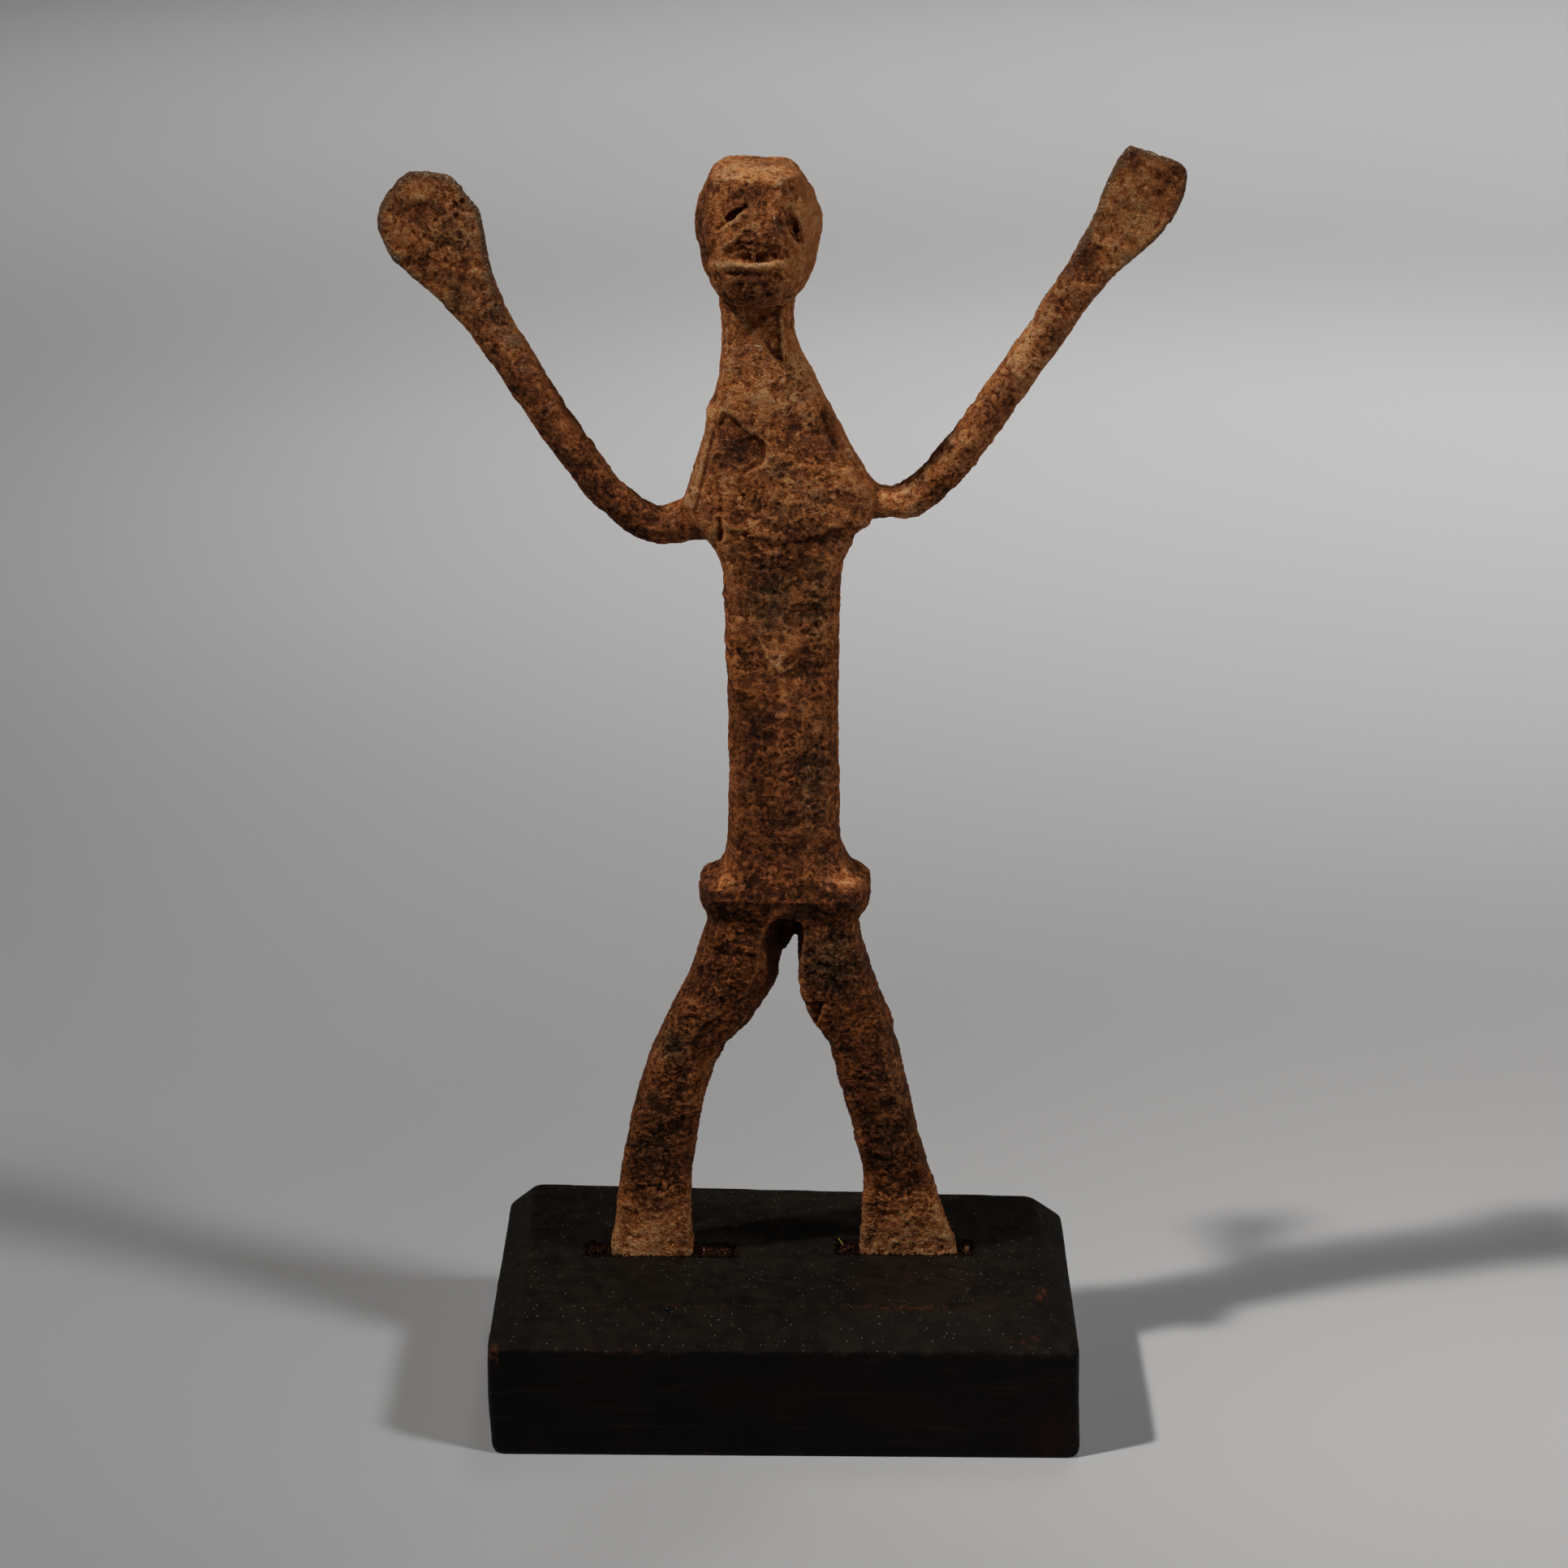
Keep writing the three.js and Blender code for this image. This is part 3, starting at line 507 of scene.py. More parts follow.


# Paint areas in the front view: middle x and z, half width, half height, any strength and tilt

# Light-brown areas: the rust's own light colour and dust, and also painted highlight where faces turn up or
# towards the light, as on the head's top facet, the lip ledge and the hip lugs' tops
TAN_AND_HIGHLIGHT_AREAS = (
    (-9, 273, 4.6, 1, 1.5, 4), (-3, 273.4, 4.5, 0.9, 1.3, 4), (-14, 254.9, 1.8, 0.9, 0.9),
    (-6.4, 254.9, 5.6, 0.7), (-10.4, 263.4, 3.4, 0.5, 0.8, 40), (-7.5, 232.8, 2.4, 1.2, 0.6),
    (-7, 262.9, 0.9, 0.8), (-11, 259.4, 1.4, 0.5, 0.6, 35), (-4.3, 226.6, 2, 2.2, 0.6),
    (-0.4, 227.2, 1.2, 2.2, 0.5), (8.8, 228.4, 1.6, 4, 0.6, 25), (-9.6, 219.8, 4.6, 0.8, 0.8, -38),
    (-11.7, 208.9, 2.2, 2.6, 0.7), (12.6, 215.4, 1.4, 2.4, 0.7, 35), (-1, 168.8, 2.2, 4.2, 0.8, 20),
    (1, 161, 2.2, 5, 0.7), (0.4, 153, 2, 4, 0.5), (-0.6, 146.4, 2.6, 3, 0.5), (11.6, 121.8, 6, 1.6, 1),
    (-14, 121.6, 3.6, 1.9, 0.7), (-27, 76.9, 2.2, 2, 0.5), (-18.9, 91.2, 3, 1.6, 0.4, 20),
    (-29.5, 33, 12, 8.5, 1), (27.5, 34.5, 13, 9.5, 1), (-73, 268, 6, 2.4, 0.2), (-81, 259.5, 1.4, 5, 0.2),
    (-63.8, 257, 1.6, 6, 0.5), (71, 263, 9, 5, 0.55, 30), (68.6, 252.6, 3.5, 3, 0.5, 40),
    (-57.5, 236.5, 2.2, 4, 0.5, 30), (-49.5, 225.5, 1.8, 8, 0.5, 35), (24, 207, 4, 1.6, 0.7, 30),
    (50, 236.5, 1.8, 9, 0.5, -35), (-21.5, 204, 3, 1.6, 0.5),
)
# Darker areas: black crust and deep rust, and also painted shade where faces turn from the light or lie
# under overhangs, as on the head's top seen edge-on, under the nose and chin, under the hip lugs and on the
# thighs' inner faces
DARK_AND_SHADE_AREAS = (
    (-6.6, 269, 5.6, 2, 0.75), (-1.6, 262.6, 2.2, 3.2, 0.85), (-16.8, 262.4, 2, 8, 1.4),
    (-15.2, 269.6, 1.6, 1.6, 0.9), (-4.6, 258.8, 4, 0.7, 0.5, -8), (-7, 251.4, 6, 1.5),
    (-1.3, 267, 0.7, 2.4), (1.3, 263.8, 0.7, 1.6, 0.7, 22), (2.7, 260.6, 0.6, 1.4, 0.5, 22),
    (-6.6, 274.4, 3.4, 0.7, 1), (-7.6, 247.4, 6, 2.2, 1), (-6, 256.4, 3, 0.4, 0.4),
    (-9.4, 266.6, 2, 0.8, 0.8, 40), (-15.8, 256.6, 1.4, 3, 0.7), (-6.4, 265, 2.6, 1.8, 0.5),
    (-10.2, 214.6, 5, 5.4, 0.95), (9.5, 218.4, 2.2, 5, 1.3, 25), (-1.4, 211.4, 1.9, 2, 0.9),
    (1.6, 219.2, 1.6, 2.4, 0.6), (-5.3, 204.4, 1.3, 1.5), (-9.7, 201.1, 2.2, 1.3, 0.7),
    (1.9, 197, 3.6, 2.4, 0.8, -10), (10.4, 196.6, 4, 1.2, 0.7, 15), (-2.8, 183.6, 4, 6),
    (6.5, 185, 2.8, 5.6), (-5.6, 167.4, 2.2, 3, 0.7), (5, 167.4, 2.4, 3.4, 0.7), (-5.6, 155.9, 3, 4.4, 0.9),
    (-5.5, 141.4, 3.6, 3.4), (-0.8, 135.5, 2.6, 3.4), (6.3, 140.5, 2.6, 7), (0.5, 129, 4, 3, 0.5),
    (13.6, 116.4, 5, 2.2, 0.9), (-15.6, 116.6, 3, 2), (-24.6, 82, 2.6, 3.2, 1, 35),
    (-9, 96.4, 4.4, 1.6, 0.6, 35), (10, 102, 5.4, 6.6, 0.9, 15), (-28.9, 60, 3.6, 7.6, 0.7),
    (22, 58, 4.6, 9.6, 0.8, 10), (-16, 84, 3, 6, 0.6, 30), (-22, 60, 1.4, 20, 0.6), (-74.8, 262.9, 2.4, 1.6),
    (-68.1, 258.6, 4, 2.8, 0.4, -30), (-65.7, 249.4, 1.8, 1.6, 0.9), (-67.6, 245.2, 2.4, 1.8, 0.8, -35),
    (-59.6, 242, 2.6, 2.4, 1, -40), (-76, 252, 3, 1.2, 0.6, -30), (71, 273.6, 2, 1.8, 0.9),
    (78, 270.6, 2.6, 2, 0.9), (61.6, 253.6, 1.9, 2.4, 1), (56.1, 244.9, 1.6, 1.9, 1),
    (54.6, 239, 1.4, 4, 0.6, -35), (44, 221.6, 2, 7, 0.7, -35), (46, 228, 1.2, 2, 0.6),
    (33.6, 206, 3.6, 2.4, 1, 35), (-45.6, 212, 2, 8, 0.7, 35), (-30, 196.8, 9, 1.6, 0.8, -8),
    (-38, 203, 3.6, 2.4, 0.7, -35), (-58, 230.4, 1.6, 7, 0.7, 33),
)
# Reddish-yellow rust areas, which on the left cheek and the left hip lug's top also stand for painted light
# where they face the key light
ORANGE_AND_LIT_AREAS = (
    (-13.6, 264.6, 2.2, 3.8, 1), (-13.8, 258.6, 2.6, 1.6), (5.4, 261, 3.4, 9, 0.7),
    (-3.5, 254.1, 1.7, 0.7, 1), (-1.9, 256.9, 2.4, 1.1, 0.9), (-11.8, 263, 1.4, 0.6, 1, 40),
    (-9.8, 223.9, 1.8, 2.6, 0.9), (-4.5, 208.2, 3.6, 1.9, 0.9), (12, 209.6, 3.4, 2.6, 0.9),
    (2.3, 183.6, 2.2, 2), (2.3, 175.7, 1.8, 2.4, 0.9), (-10, 184.6, 2.4, 9, 0.6), (-5.9, 161.5, 1.8, 3),
    (-10.4, 146, 1.8, 14, 0.6), (-13.6, 122.2, 3, 2), (-7.4, 101, 3, 4.6, 0.9, 15), (-36, 43.1, 1.2, 3.6, 1),
    (14.6, 90.8, 2.2, 2.6, 0.7), (19.4, 81.5, 2.4, 1.8, 0.7), (20.2, 71.8, 4.2, 1.2, 0.6),
    (-72.5, 260.8, 2.2, 1.6), (-70, 254.7, 3, 1.6, 0.7), (-3, 226, 5, 5, 0.3), (58.6, 243, 2, 2.4, 0.7),
    (72, 262, 9, 8, 0.75), (3, 201, 9, 2.4, 0.35),
)
OLIVE_AREAS = (
    (-2.8, 182, 4.2, 7), (6.5, 182, 2.6, 9, 0.7), (10.2, 103, 6, 6), (-67.8, 258.2, 5, 3.4, 0.5, -30),
    (-59.6, 241.8, 3, 3, 0.7), (-67.6, 245.2, 3, 2.4, 0.6), (72.8, 262.7, 2.6, 3, 0.3),
    (-24.6, 82, 3.6, 3.6), (6, 145, 3, 12, 0.6), (-1.4, 211.4, 2.2, 2.2, 0.7), (3, 230, 4, 5, 0.4),
    (8, 264, 3, 6, 0.5), (1, 202, 4.6, 3, 0.5), (-28, 58, 4, 10, 0.4), (26, 74, 4, 16, 0.5, 10),
)
# Glint areas: painted highlights, pale specks where the rust's grains and edges catch the light
GLINT_AREAS = (
    (-0.8, 270.4, 0.5, 1.3, 1, -15), (-5.3, 270.3, 0.35, 0.35, 1), (-7.2, 271.5, 0.8, 0.3, 0.9),
    (-11.5, 271.3, 1.8, 0.3, 0.9), (-13.9, 270.8, 0.9, 0.3, 0.9, -10), (-1.6, 264.2, 0.4, 1.9, 0.9, 15),
    (-1.6, 260, 1.2, 0.5), (-11.2, 259.2, 1.6, 0.4, 0.8, 35), (-5.2, 254.9, 1.4, 0.35, 0.9),
    (-13.9, 255.1, 1.2, 0.6, 1), (-11.1, 253.4, 0.8, 0.3), (-1, 253.6, 0.5, 0.8), (-10.7, 267, 0.4, 0.3),
    (-16.4, 267.6, 0.4, 2, 0.6), (-1, 239.6, 0.4, 2.4, 0.9), (-11.7, 239.2, 0.5, 0.4, 0.9),
    (-7.2, 236.4, 3.2, 0.5), (-4, 230.4, 1, 2, 0.7), (-0.4, 230.8, 0.8, 1.2, 0.7),
    (-14.6, 118.9, 1, 0.4, 0.5), (6.2, 119.2, 0.9, 0.4, 0.6), (-9.6, 219.8, 4.2, 0.5, 0.6, 38),
    (3.4, 203, 5, 0.5, 0.5), (-1, 169, 1.2, 3, 0.5, -20), (48.8, 235.6, 0.6, 9, 0.5, -35),
    (60.4, 253.6, 0.6, 6, 0.6, -30), (66.6, 268.4, 0.5, 5, 0.7, -25), (-62.4, 262, 0.5, 6, 0.7, 20),
    (-71.6, 274.6, 4, 0.5, 0.6), (12.6, 214.6, 0.5, 3, 0.7, 35), (-8, 212, 1.4, 2, 0.5),
    (2, 217.6, 1.2, 3, 0.4),
)
# How far paint spills over the edges of its areas
SPILL = 1.15
# How light the colour is on the whole at each height, about a middle of 0.5: partly the rust's own tone and
# partly painted shade, darkest on the hips and on the legs above the feet
LEVEL_HEIGHTS = (28, 40, 50, 90, 108, 114, 122, 130, 160, 190, 214, 235, 275)
LEVELS = (0.74, 0.6, 0.22, 0.26, 0.16, 0, 0.34, 0.3, 0.42, 0.62, 0.95, 0.97, 0.97)


def spot(at, x, z, width, height, strength=0.8, tilt=0.0):
    return strength * patch(at, x, z, width * SPILL, height * SPILL, tilt)


def painted(at, front, areas, seed):
    """How strongly a colour's areas cover each point, with ragged outlines."""
    reach = 1.1 - 0.75 * ramp(at[:, 2], 248, 254)
    moved = shifted(at, reach * fractal(at, 3.4, 4, seed, 0.6), reach * fractal(at, 3.4, 4, seed + 5, 0.6))
    cover = np.zeros(len(at))
    for area in areas:
        cover = np.maximum(cover, spot(moved, *area))
    return cover * front


# Rounds of blurring that leave out the grain and then the wider bumps, each in two goes
FINE_ROUNDS = (4, 6)
BROAD_ROUNDS = (14, 16)


def surface_facts(piece):
    """Stores what the material needs at each point."""
    surface = Surface(piece)
    normal = surface.normals()
    fine = surface.blurred(FINE_ROUNDS[0])
    broad = surface.blurred(BROAD_ROUNDS[0])
    broad_normal = surface.normals(broad)
    fine_height = ((surface.points - fine) * normal).sum(1)
    wide = surface.blurred(FINE_ROUNDS[1], fine) - surface.blurred(BROAD_ROUNDS[1], broad)
    wide_height = (wide * broad_normal).sum(1)
    at = surface.points
    front = ramp(-broad_normal[:, 1], -0.1, 0.4)
    # Painted highlight on the chest's left bevel, which faces the light, with the bevel's own lighter rust
    lit_strip = inside(at, LEFT_LIT_STRIP, 0.4) * front
    on_hands = ramp(np.abs(at[:, 0]), 44, 58)
    level = np.interp(at[:, 2], LEVEL_HEIGHTS, LEVELS)
    # The left arm and the right leg darkened: partly their darker rust, partly painted shade
    level -= 0.6 * ramp(-at[:, 0], 22, 30) * ramp(at[:, 2], 190, 196) * ramp(-at[:, 2], -244, -226)
    level -= 0.14 * ramp(at[:, 0], 2, 6) * ramp(at[:, 2], 44, 54) * ramp(-at[:, 2], -108, -100)
    wide, narrow = flake_layers(at)
    above_chest = ramp(at[:, 2], 196, 206)
    dark = np.clip(painted(at, front, DARK_AND_SHADE_AREAS, 83), 0, 1)
    store(
        piece,
        # Fine bumps lighter and small hollows darker: partly the rust's darker crust, partly painted shade
        # in the hollows
        grain=0.5 + fine_height / 0.2,
        crest=0.5 + wide_height / 1.1 + 0.14 * on_hands,
        level=level,
        flake=0.65 * wide + 0.35 * narrow,
        upward=0.5 + 0.5 * broad_normal[:, 2],
        calm=ramp(broad_normal[:, 0], 0.35, 0.8) * (0.25 + 0.55 * above_chest) * (1 - 0.8 * dark),
        tan=np.maximum(painted(at, front, TAN_AND_HIGHLIGHT_AREAS, 81), 0.75 * lit_strip),
        dark=dark,
        orange=painted(at, front, ORANGE_AND_LIT_AREAS, 85),
        olive=painted(at, front, OLIVE_AREAS, 87),
        glint=painted(at, front, GLINT_AREAS, 89),
    )


# Node materials


def linear(red, green, blue):
    """A colour as seen on a screen, 0 to 255, turned into the shader's own scale."""
    shares = [c / 255 for c in (red, green, blue)]
    return tuple(c / 12.92 if c <= 0.04045 else ((c + 0.055) / 1.055) ** 2.4 for c in shares) + (1.0,)


class Nodes:
    """Short ways to add and join shader nodes."""

    def __init__(self, name):
        self.material = bpy.data.materials.new(name)
        self.material.use_nodes = True
        self.tree = self.material.node_tree
        self.tree.nodes.clear()
        self.shader = self.add("ShaderNodeBsdfPrincipled")
        self.add("ShaderNodeOutputMaterial", {"Surface": self.shader.outputs["BSDF"]})
        self.place = self.add("ShaderNodeTexCoord").outputs["Object"]

    def add(self, kind, values=None, **settings):
        node = self.tree.nodes.new(kind)
        for key, value in settings.items():
            setattr(node, key, value)
        for key, value in (values or {}).items():
            self.put(node.inputs[key], value)
        return node

    def put(self, socket, value):
        if isinstance(value, bpy.types.NodeSocket):
            self.tree.links.new(value, socket)
        else:
            socket.default_value = value

    def noise(self, size, detail=2.0, roughness=0.5, distortion=0.0, place=None):
        values = {"Vector": place or self.place, "Scale": 1 / (size * MM), "Detail": detail}
        values |= {"Roughness": roughness, "Distortion": distortion}
        return self.add("ShaderNodeTexNoise", values).outputs["Fac"]

    def cells(self, size, place=None):
        """The distance from the middle of each cell and a number picked for it."""
        values = {"Vector": place or self.place, "Scale": 1 / (size * MM)}
        node = self.add("ShaderNodeTexVoronoi", values)
        return node.outputs["Distance"], node.outputs["Color"]

    def moved(self, offset, scale=(1, 1, 1)):
        values = {"Vector": self.place, "Location": offset, "Scale": scale}
        return self.add("ShaderNodeMapping", values).outputs["Vector"]

    def attribute(self, name):
        return self.add("ShaderNodeAttribute", attribute_name=name).outputs["Fac"]

    def math(self, operation, a, b=0.0):
        return self.add("ShaderNodeMath", {0: a, 1: b}, operation=operation).outputs[0]

    def times(self, a, b):
        return self.math("MULTIPLY", a, b)

    def plus(self, a, b):
        return self.math("ADD", a, b)

    def minus(self, a, b):
        return self.math("SUBTRACT", a, b)

    def most(self, a, b):
        return self.math("MAXIMUM", a, b)

    def span(self, value, low, high, to_low=0.0, to_high=1.0):
        values = {"Value": value, "From Min": low, "From Max": high, "To Min": to_low, "To Max": to_high}
        return self.add("ShaderNodeMapRange", values, interpolation_type="SMOOTHSTEP").outputs["Result"]

    def mix(self, share, a, b, blend="MIX"):
        values = {"Factor": share, "A": a, "B": b}
        return self.add("ShaderNodeMix", values, data_type="RGBA", blend_type=blend).outputs["Result"]

    def weighted(self, parts, middle):
        """The sum of values times weights, each value taken from 0.5, about a middle."""
        total = middle
        for value, weight in parts:
            total = self.plus(self.times(self.minus(value, 0.5), weight), total)
        return total

    def tones(self, value, stops):
        """Turns a value into a colour by a row of tones: place and colour as on a screen."""
        node = self.add("ShaderNodeValToRGB", {"Fac": value})
        row = node.color_ramp.elements
        for place, *colour in stops:
            tone = row[0] if place == 0 else row[-1] if place == 1 else row.new(place)
            tone.color = linear(*colour)
        return node.outputs["Color"]

    def tint(self, share, most, colour):
        """Lays a colour over the colour so far, up to a given share."""
        self.colour = self.mix(self.times(share, most), self.colour, colour)

    def done(self, roughness, specular, height, distance, strength):
        """Joins up the shader with the colour so far and a bump, and gives the material."""
        values = {"Height": height, "Distance": distance * MM, "Strength": strength}
        normal = self.add("ShaderNodeBump", values).outputs["Normal"]
        values = {"Base Color": self.colour, "Roughness": roughness, "Specular IOR Level": specular}
        for name, value in (values | {"Normal": normal}).items():
            self.put(self.shader.inputs[name], value)
        return self.material


# Rust colours from the darkest hollows, whose darkness is partly painted shade, to the crests with dust on
# them, as seen on a screen under white light

RUST_TONES = (
    (0, 26, 15, 8), (0.26, 62, 32, 15), (0.43, 114, 61, 31), (0.58, 158, 88, 46), (0.75, 208, 122, 64),
    (1, 242, 184, 124),
)
ORANGE_TONES = ((0, 56, 28, 14), (0.35, 142, 76, 36), (0.6, 200, 116, 62), (1, 238, 162, 94))
MAROON_TONES = ((0, 22, 13, 9), (0.35, 82, 46, 28), (0.6, 130, 80, 55), (1, 190, 136, 98))
RUST_OLIVE = linear(88, 74, 48)
RUST_CALM = linear(140, 88, 48)
BLACK_EDGE = linear(40, 28, 23)
# Colour of the painted highlights, the glints
GLINT = linear(252, 242, 220)
PALE_CURL = linear(214, 150, 88)


def rusty_iron():
    n = Nodes("rusty_iron")
    broad = n.noise(11, 2, 0.5, 0.4)
    middle = n.noise(3.2, 3, 0.6, 0.5)
    fibre = n.noise(1.1, 4, 0.66, 0.7)
    speck = n.noise(0.4, 2, 0.6, 0.5)
    distance, pick = n.cells(0.8, n.moved((3, 5, 7), (1, 1, 1.3)))
    grain_spots = n.times(n.span(distance, 0.42, 0.2), n.span(pick, 0.42, 0.34))
    pit_spots = n.times(n.span(distance, 0.38, 0.16), n.span(pick, 0.6, 0.66))
    names = "grain crest flake dark tan calm level"
    grain, crest, flake, dark, tan, calm, level = map(n.attribute, names.split())
    # The fine relief darkens the hollows, partly as painted shade
    parts = ((broad, 0.3), (middle, 0.34), (fibre, 0.48), (speck, 0.76), (grain, 0.42), (flake, 0.14))
    tone = n.weighted(parts, 0.47)
    tone = n.plus(tone, n.times(grain_spots, 0.05))
    tone = n.minus(tone, n.times(pit_spots, 0.12))
    even = n.most(n.times(calm, 0.4), n.times(tan, 0.12))
    tone = n.plus(n.times(n.minus(tone, 0.5), n.span(even, 0, 1, 1, 0)), 0.5)
    # Lighter in the light-brown areas: light rust, and painted highlight on faces turned to the light
    tone = n.plus(tone, n.times(tan, 0.27))
    # Darkened in the darker areas: black rust, and painted shade under overhangs and on faces turned from
    # the light
    tone = n.minus(tone, n.times(dark, n.span(level, 0.5, 0.7, 0.1, 0.3)))
    tone = n.plus(tone, n.times(n.span(n.attribute("upward"), 0.74, 0.95), 0.06))
    # Lighter or darker by height: the rust's own tone and painted shade
    tone = n.plus(tone, n.times(n.minus(level, 0.5), 0.4))
    n.colour = n.tones(tone, RUST_TONES)
    maroon_spots = n.span(n.noise(6, 4, 0.62, 0.8, n.moved((17, 41, 5))), 0.5, 0.62)
    maroon_spots = n.most(maroon_spots, n.span(flake, 0.5, 0.1, 0, 0.6))
    maroon = n.times(n.most(maroon_spots, dark), n.span(even, 0, 0.4, 0.7, 0.2))
    n.colour = n.mix(maroon, n.colour, n.tones(tone, MAROON_TONES))
    orange_spots = n.span(n.noise(4.6, 4, 0.62, 0.8, n.moved((31, 7, 13))), 0.5, 0.62, 0, 0.75)
    # Reddish-yellow rust, and painted light on the left cheek, which faces the key light
    orange = n.most(n.attribute("orange"), orange_spots)
    n.tint(orange, 0.8, n.tones(tone, ORANGE_TONES))
    olive = n.times(n.attribute("olive"), n.span(middle, 0.35, 0.6, 0.3, 0.8))
    n.tint(olive, 0.6, n.mix(1, n.colour, RUST_OLIVE, "COLOR"))
    n.tint(calm, 0.35, RUST_CALM)
    curl = n.math("ABSOLUTE", n.minus(n.noise(1.3, 2, 0.6, 1.6, n.moved((3, 19, 29))), 0.5))
    curls = n.times(n.span(curl, 0.025, 0.005), n.span(n.noise(3.4, 3, 0.6), 0.5, 0.6))
    n.tint(curls, 0.32, PALE_CURL)
    edge = n.span(crest, 0.74, 0.97)
    n.tint(edge, 0.7, BLACK_EDGE)
    # Painted highlights: pale glint specks on the edges and in the glint areas, also made a little metallic
    shine = n.most(n.times(edge, 0.5), n.attribute("glint"))
    distance, pick = n.cells(0.62, n.moved((11, 2, 6)))
    shards = n.times(n.span(distance, 0.36, 0.24), n.span(pick, 0.5, 0.44))
    glint = n.times(shards, n.span(shine, 0.2, 0.7))
    n.tint(glint, 0.9, GLINT)
    n.put(n.shader.inputs["Metallic"], n.times(glint, 0.2))
    gloss = n.most(n.times(edge, 0.35), n.times(dark, 0.15))
    gloss = n.most(gloss, glint)
    height = n.weighted(((fibre, 0.9), (speck, 1)), 0)
    height = n.plus(height, n.times(grain_spots, 0.25))
    height = n.minus(height, n.times(pit_spots, 0.35))
    height = n.plus(height, n.times(curls, 0.15))
    return n.done(n.span(gloss, 0, 1, 0.85, 0.3), n.span(gloss, 0, 1, 0.1, 0.6), height, 0.66, 1)


# Base block

BASE_VOXEL = 0.6
BASE_TRIANGLES = 110000
EDGE_SOFTNESS = 4
BASE_NORMAL_ROUNDS = 4
BASE_FACING_ROUNDS = 8
BASE_BROAD_ROUNDS = 20
TOP_MARGIN = 0.01
# Chips out of the block's front edge: place, reach along each axis and depth
BASE_CHIPS = (
    ((-62.6, -36.4, 25.2), (2.4, 2.4, 2), 0.9), ((-23, -37, 25.4), (3, 1.2, 1), 0.5),
    ((-38, -37, 25.4), (2, 1.2, 0.8), 0.4),
)


def softened_base():
    piece = cad_copy("base", "black_base")
    exact = BVHTree.FromObject(piece, bpy.context.evaluated_depsgraph_get())
    with_modifier(piece, "REMESH", mode="VOXEL", voxel_size=BASE_VOXEL * MM)
    surface = Surface(piece)
    snapped = [exact.find_nearest(Vector(p * MM))[0] for p in surface.points]
    surface.points = np.array(snapped) / MM
    at = surface.blurred(EDGE_SOFTNESS)
    normal = surface.normals(surface.blurred(BASE_NORMAL_ROUNDS, at))
    above = ramp(at[:, 2], 1, 4)
    along_grain = at * (0.15, 1, 1)
    height = 0.05 * fractal(along_grain, 2.4, 3, 91) + 0.12 * noise(at, 18, 92) - 0.1
    height -= 0.25 * ramp(noise(at, 3, 93), 0.45, 0.7) * ramp(np.abs(normal).max(1), 0.97, 0.8)
    for place, reach, depth in BASE_CHIPS:
        height -= depth * near(at, place, reach)
    lowest, highest = np.array(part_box("base")) / MM
    worn = at + normal * (height * above)[:, None]
    set_points(piece, np.clip(worn, lowest, highest - TOP_MARGIN))
    with_modifier(piece, "TRIANGULATE")
    with_modifier(piece, "DECIMATE", ratio=BASE_TRIANGLES / len(surface.triangles))
    return piece


# Worn and reddish spots on the block: place, reach along each axis and strength
BASE_WEAR = (
    ((28, -24.6, 29.8), (14, 1.2, 0.6), 0.35), ((57, -17.4, 29), (1.2, 2.6, 1.4), 1.8),
    ((52.6, -34, 26.6), (3, 2, 1), 0.4), ((-62.4, -36.6, 24.6), (1.6, 1.6, 2.6), 0.9),
    ((-34, -37.2, 25.2), (12, 0.8, 0.5), 0.3), ((-10, -24.6, 29.9), (46, 0.4, 0.4), 0.3),
)
BASE_RED = (
    ((30, -12, 29.9), (13, 9, 2), 0.25), ((57.2, -37.2, 5.4), (5, 2, 5), 0.35),
    ((-8, -37.4, 15), (12, 2, 5), 0.15), ((24, -37.4, 12), (9, 2, 5), 0.15),
)


def base_facts(piece):
    surface = Surface(piece)
    at = surface.points
    normal = surface.normals(surface.blurred(BASE_FACING_ROUNDS))
    height = ((at - surface.blurred(BASE_BROAD_ROUNDS)) * normal).sum(1)
    store(piece, crest=0.5 + height / 0.6, upward=0.5 + 0.5 * normal[:, 2])
    for name, places in (("wear", BASE_WEAR), ("red", BASE_RED)):
        cover = np.zeros(len(at))
        for place, reach, strength in places:
            cover = np.maximum(cover, strength * near(at, place, reach))
        store(piece, **{name: cover})


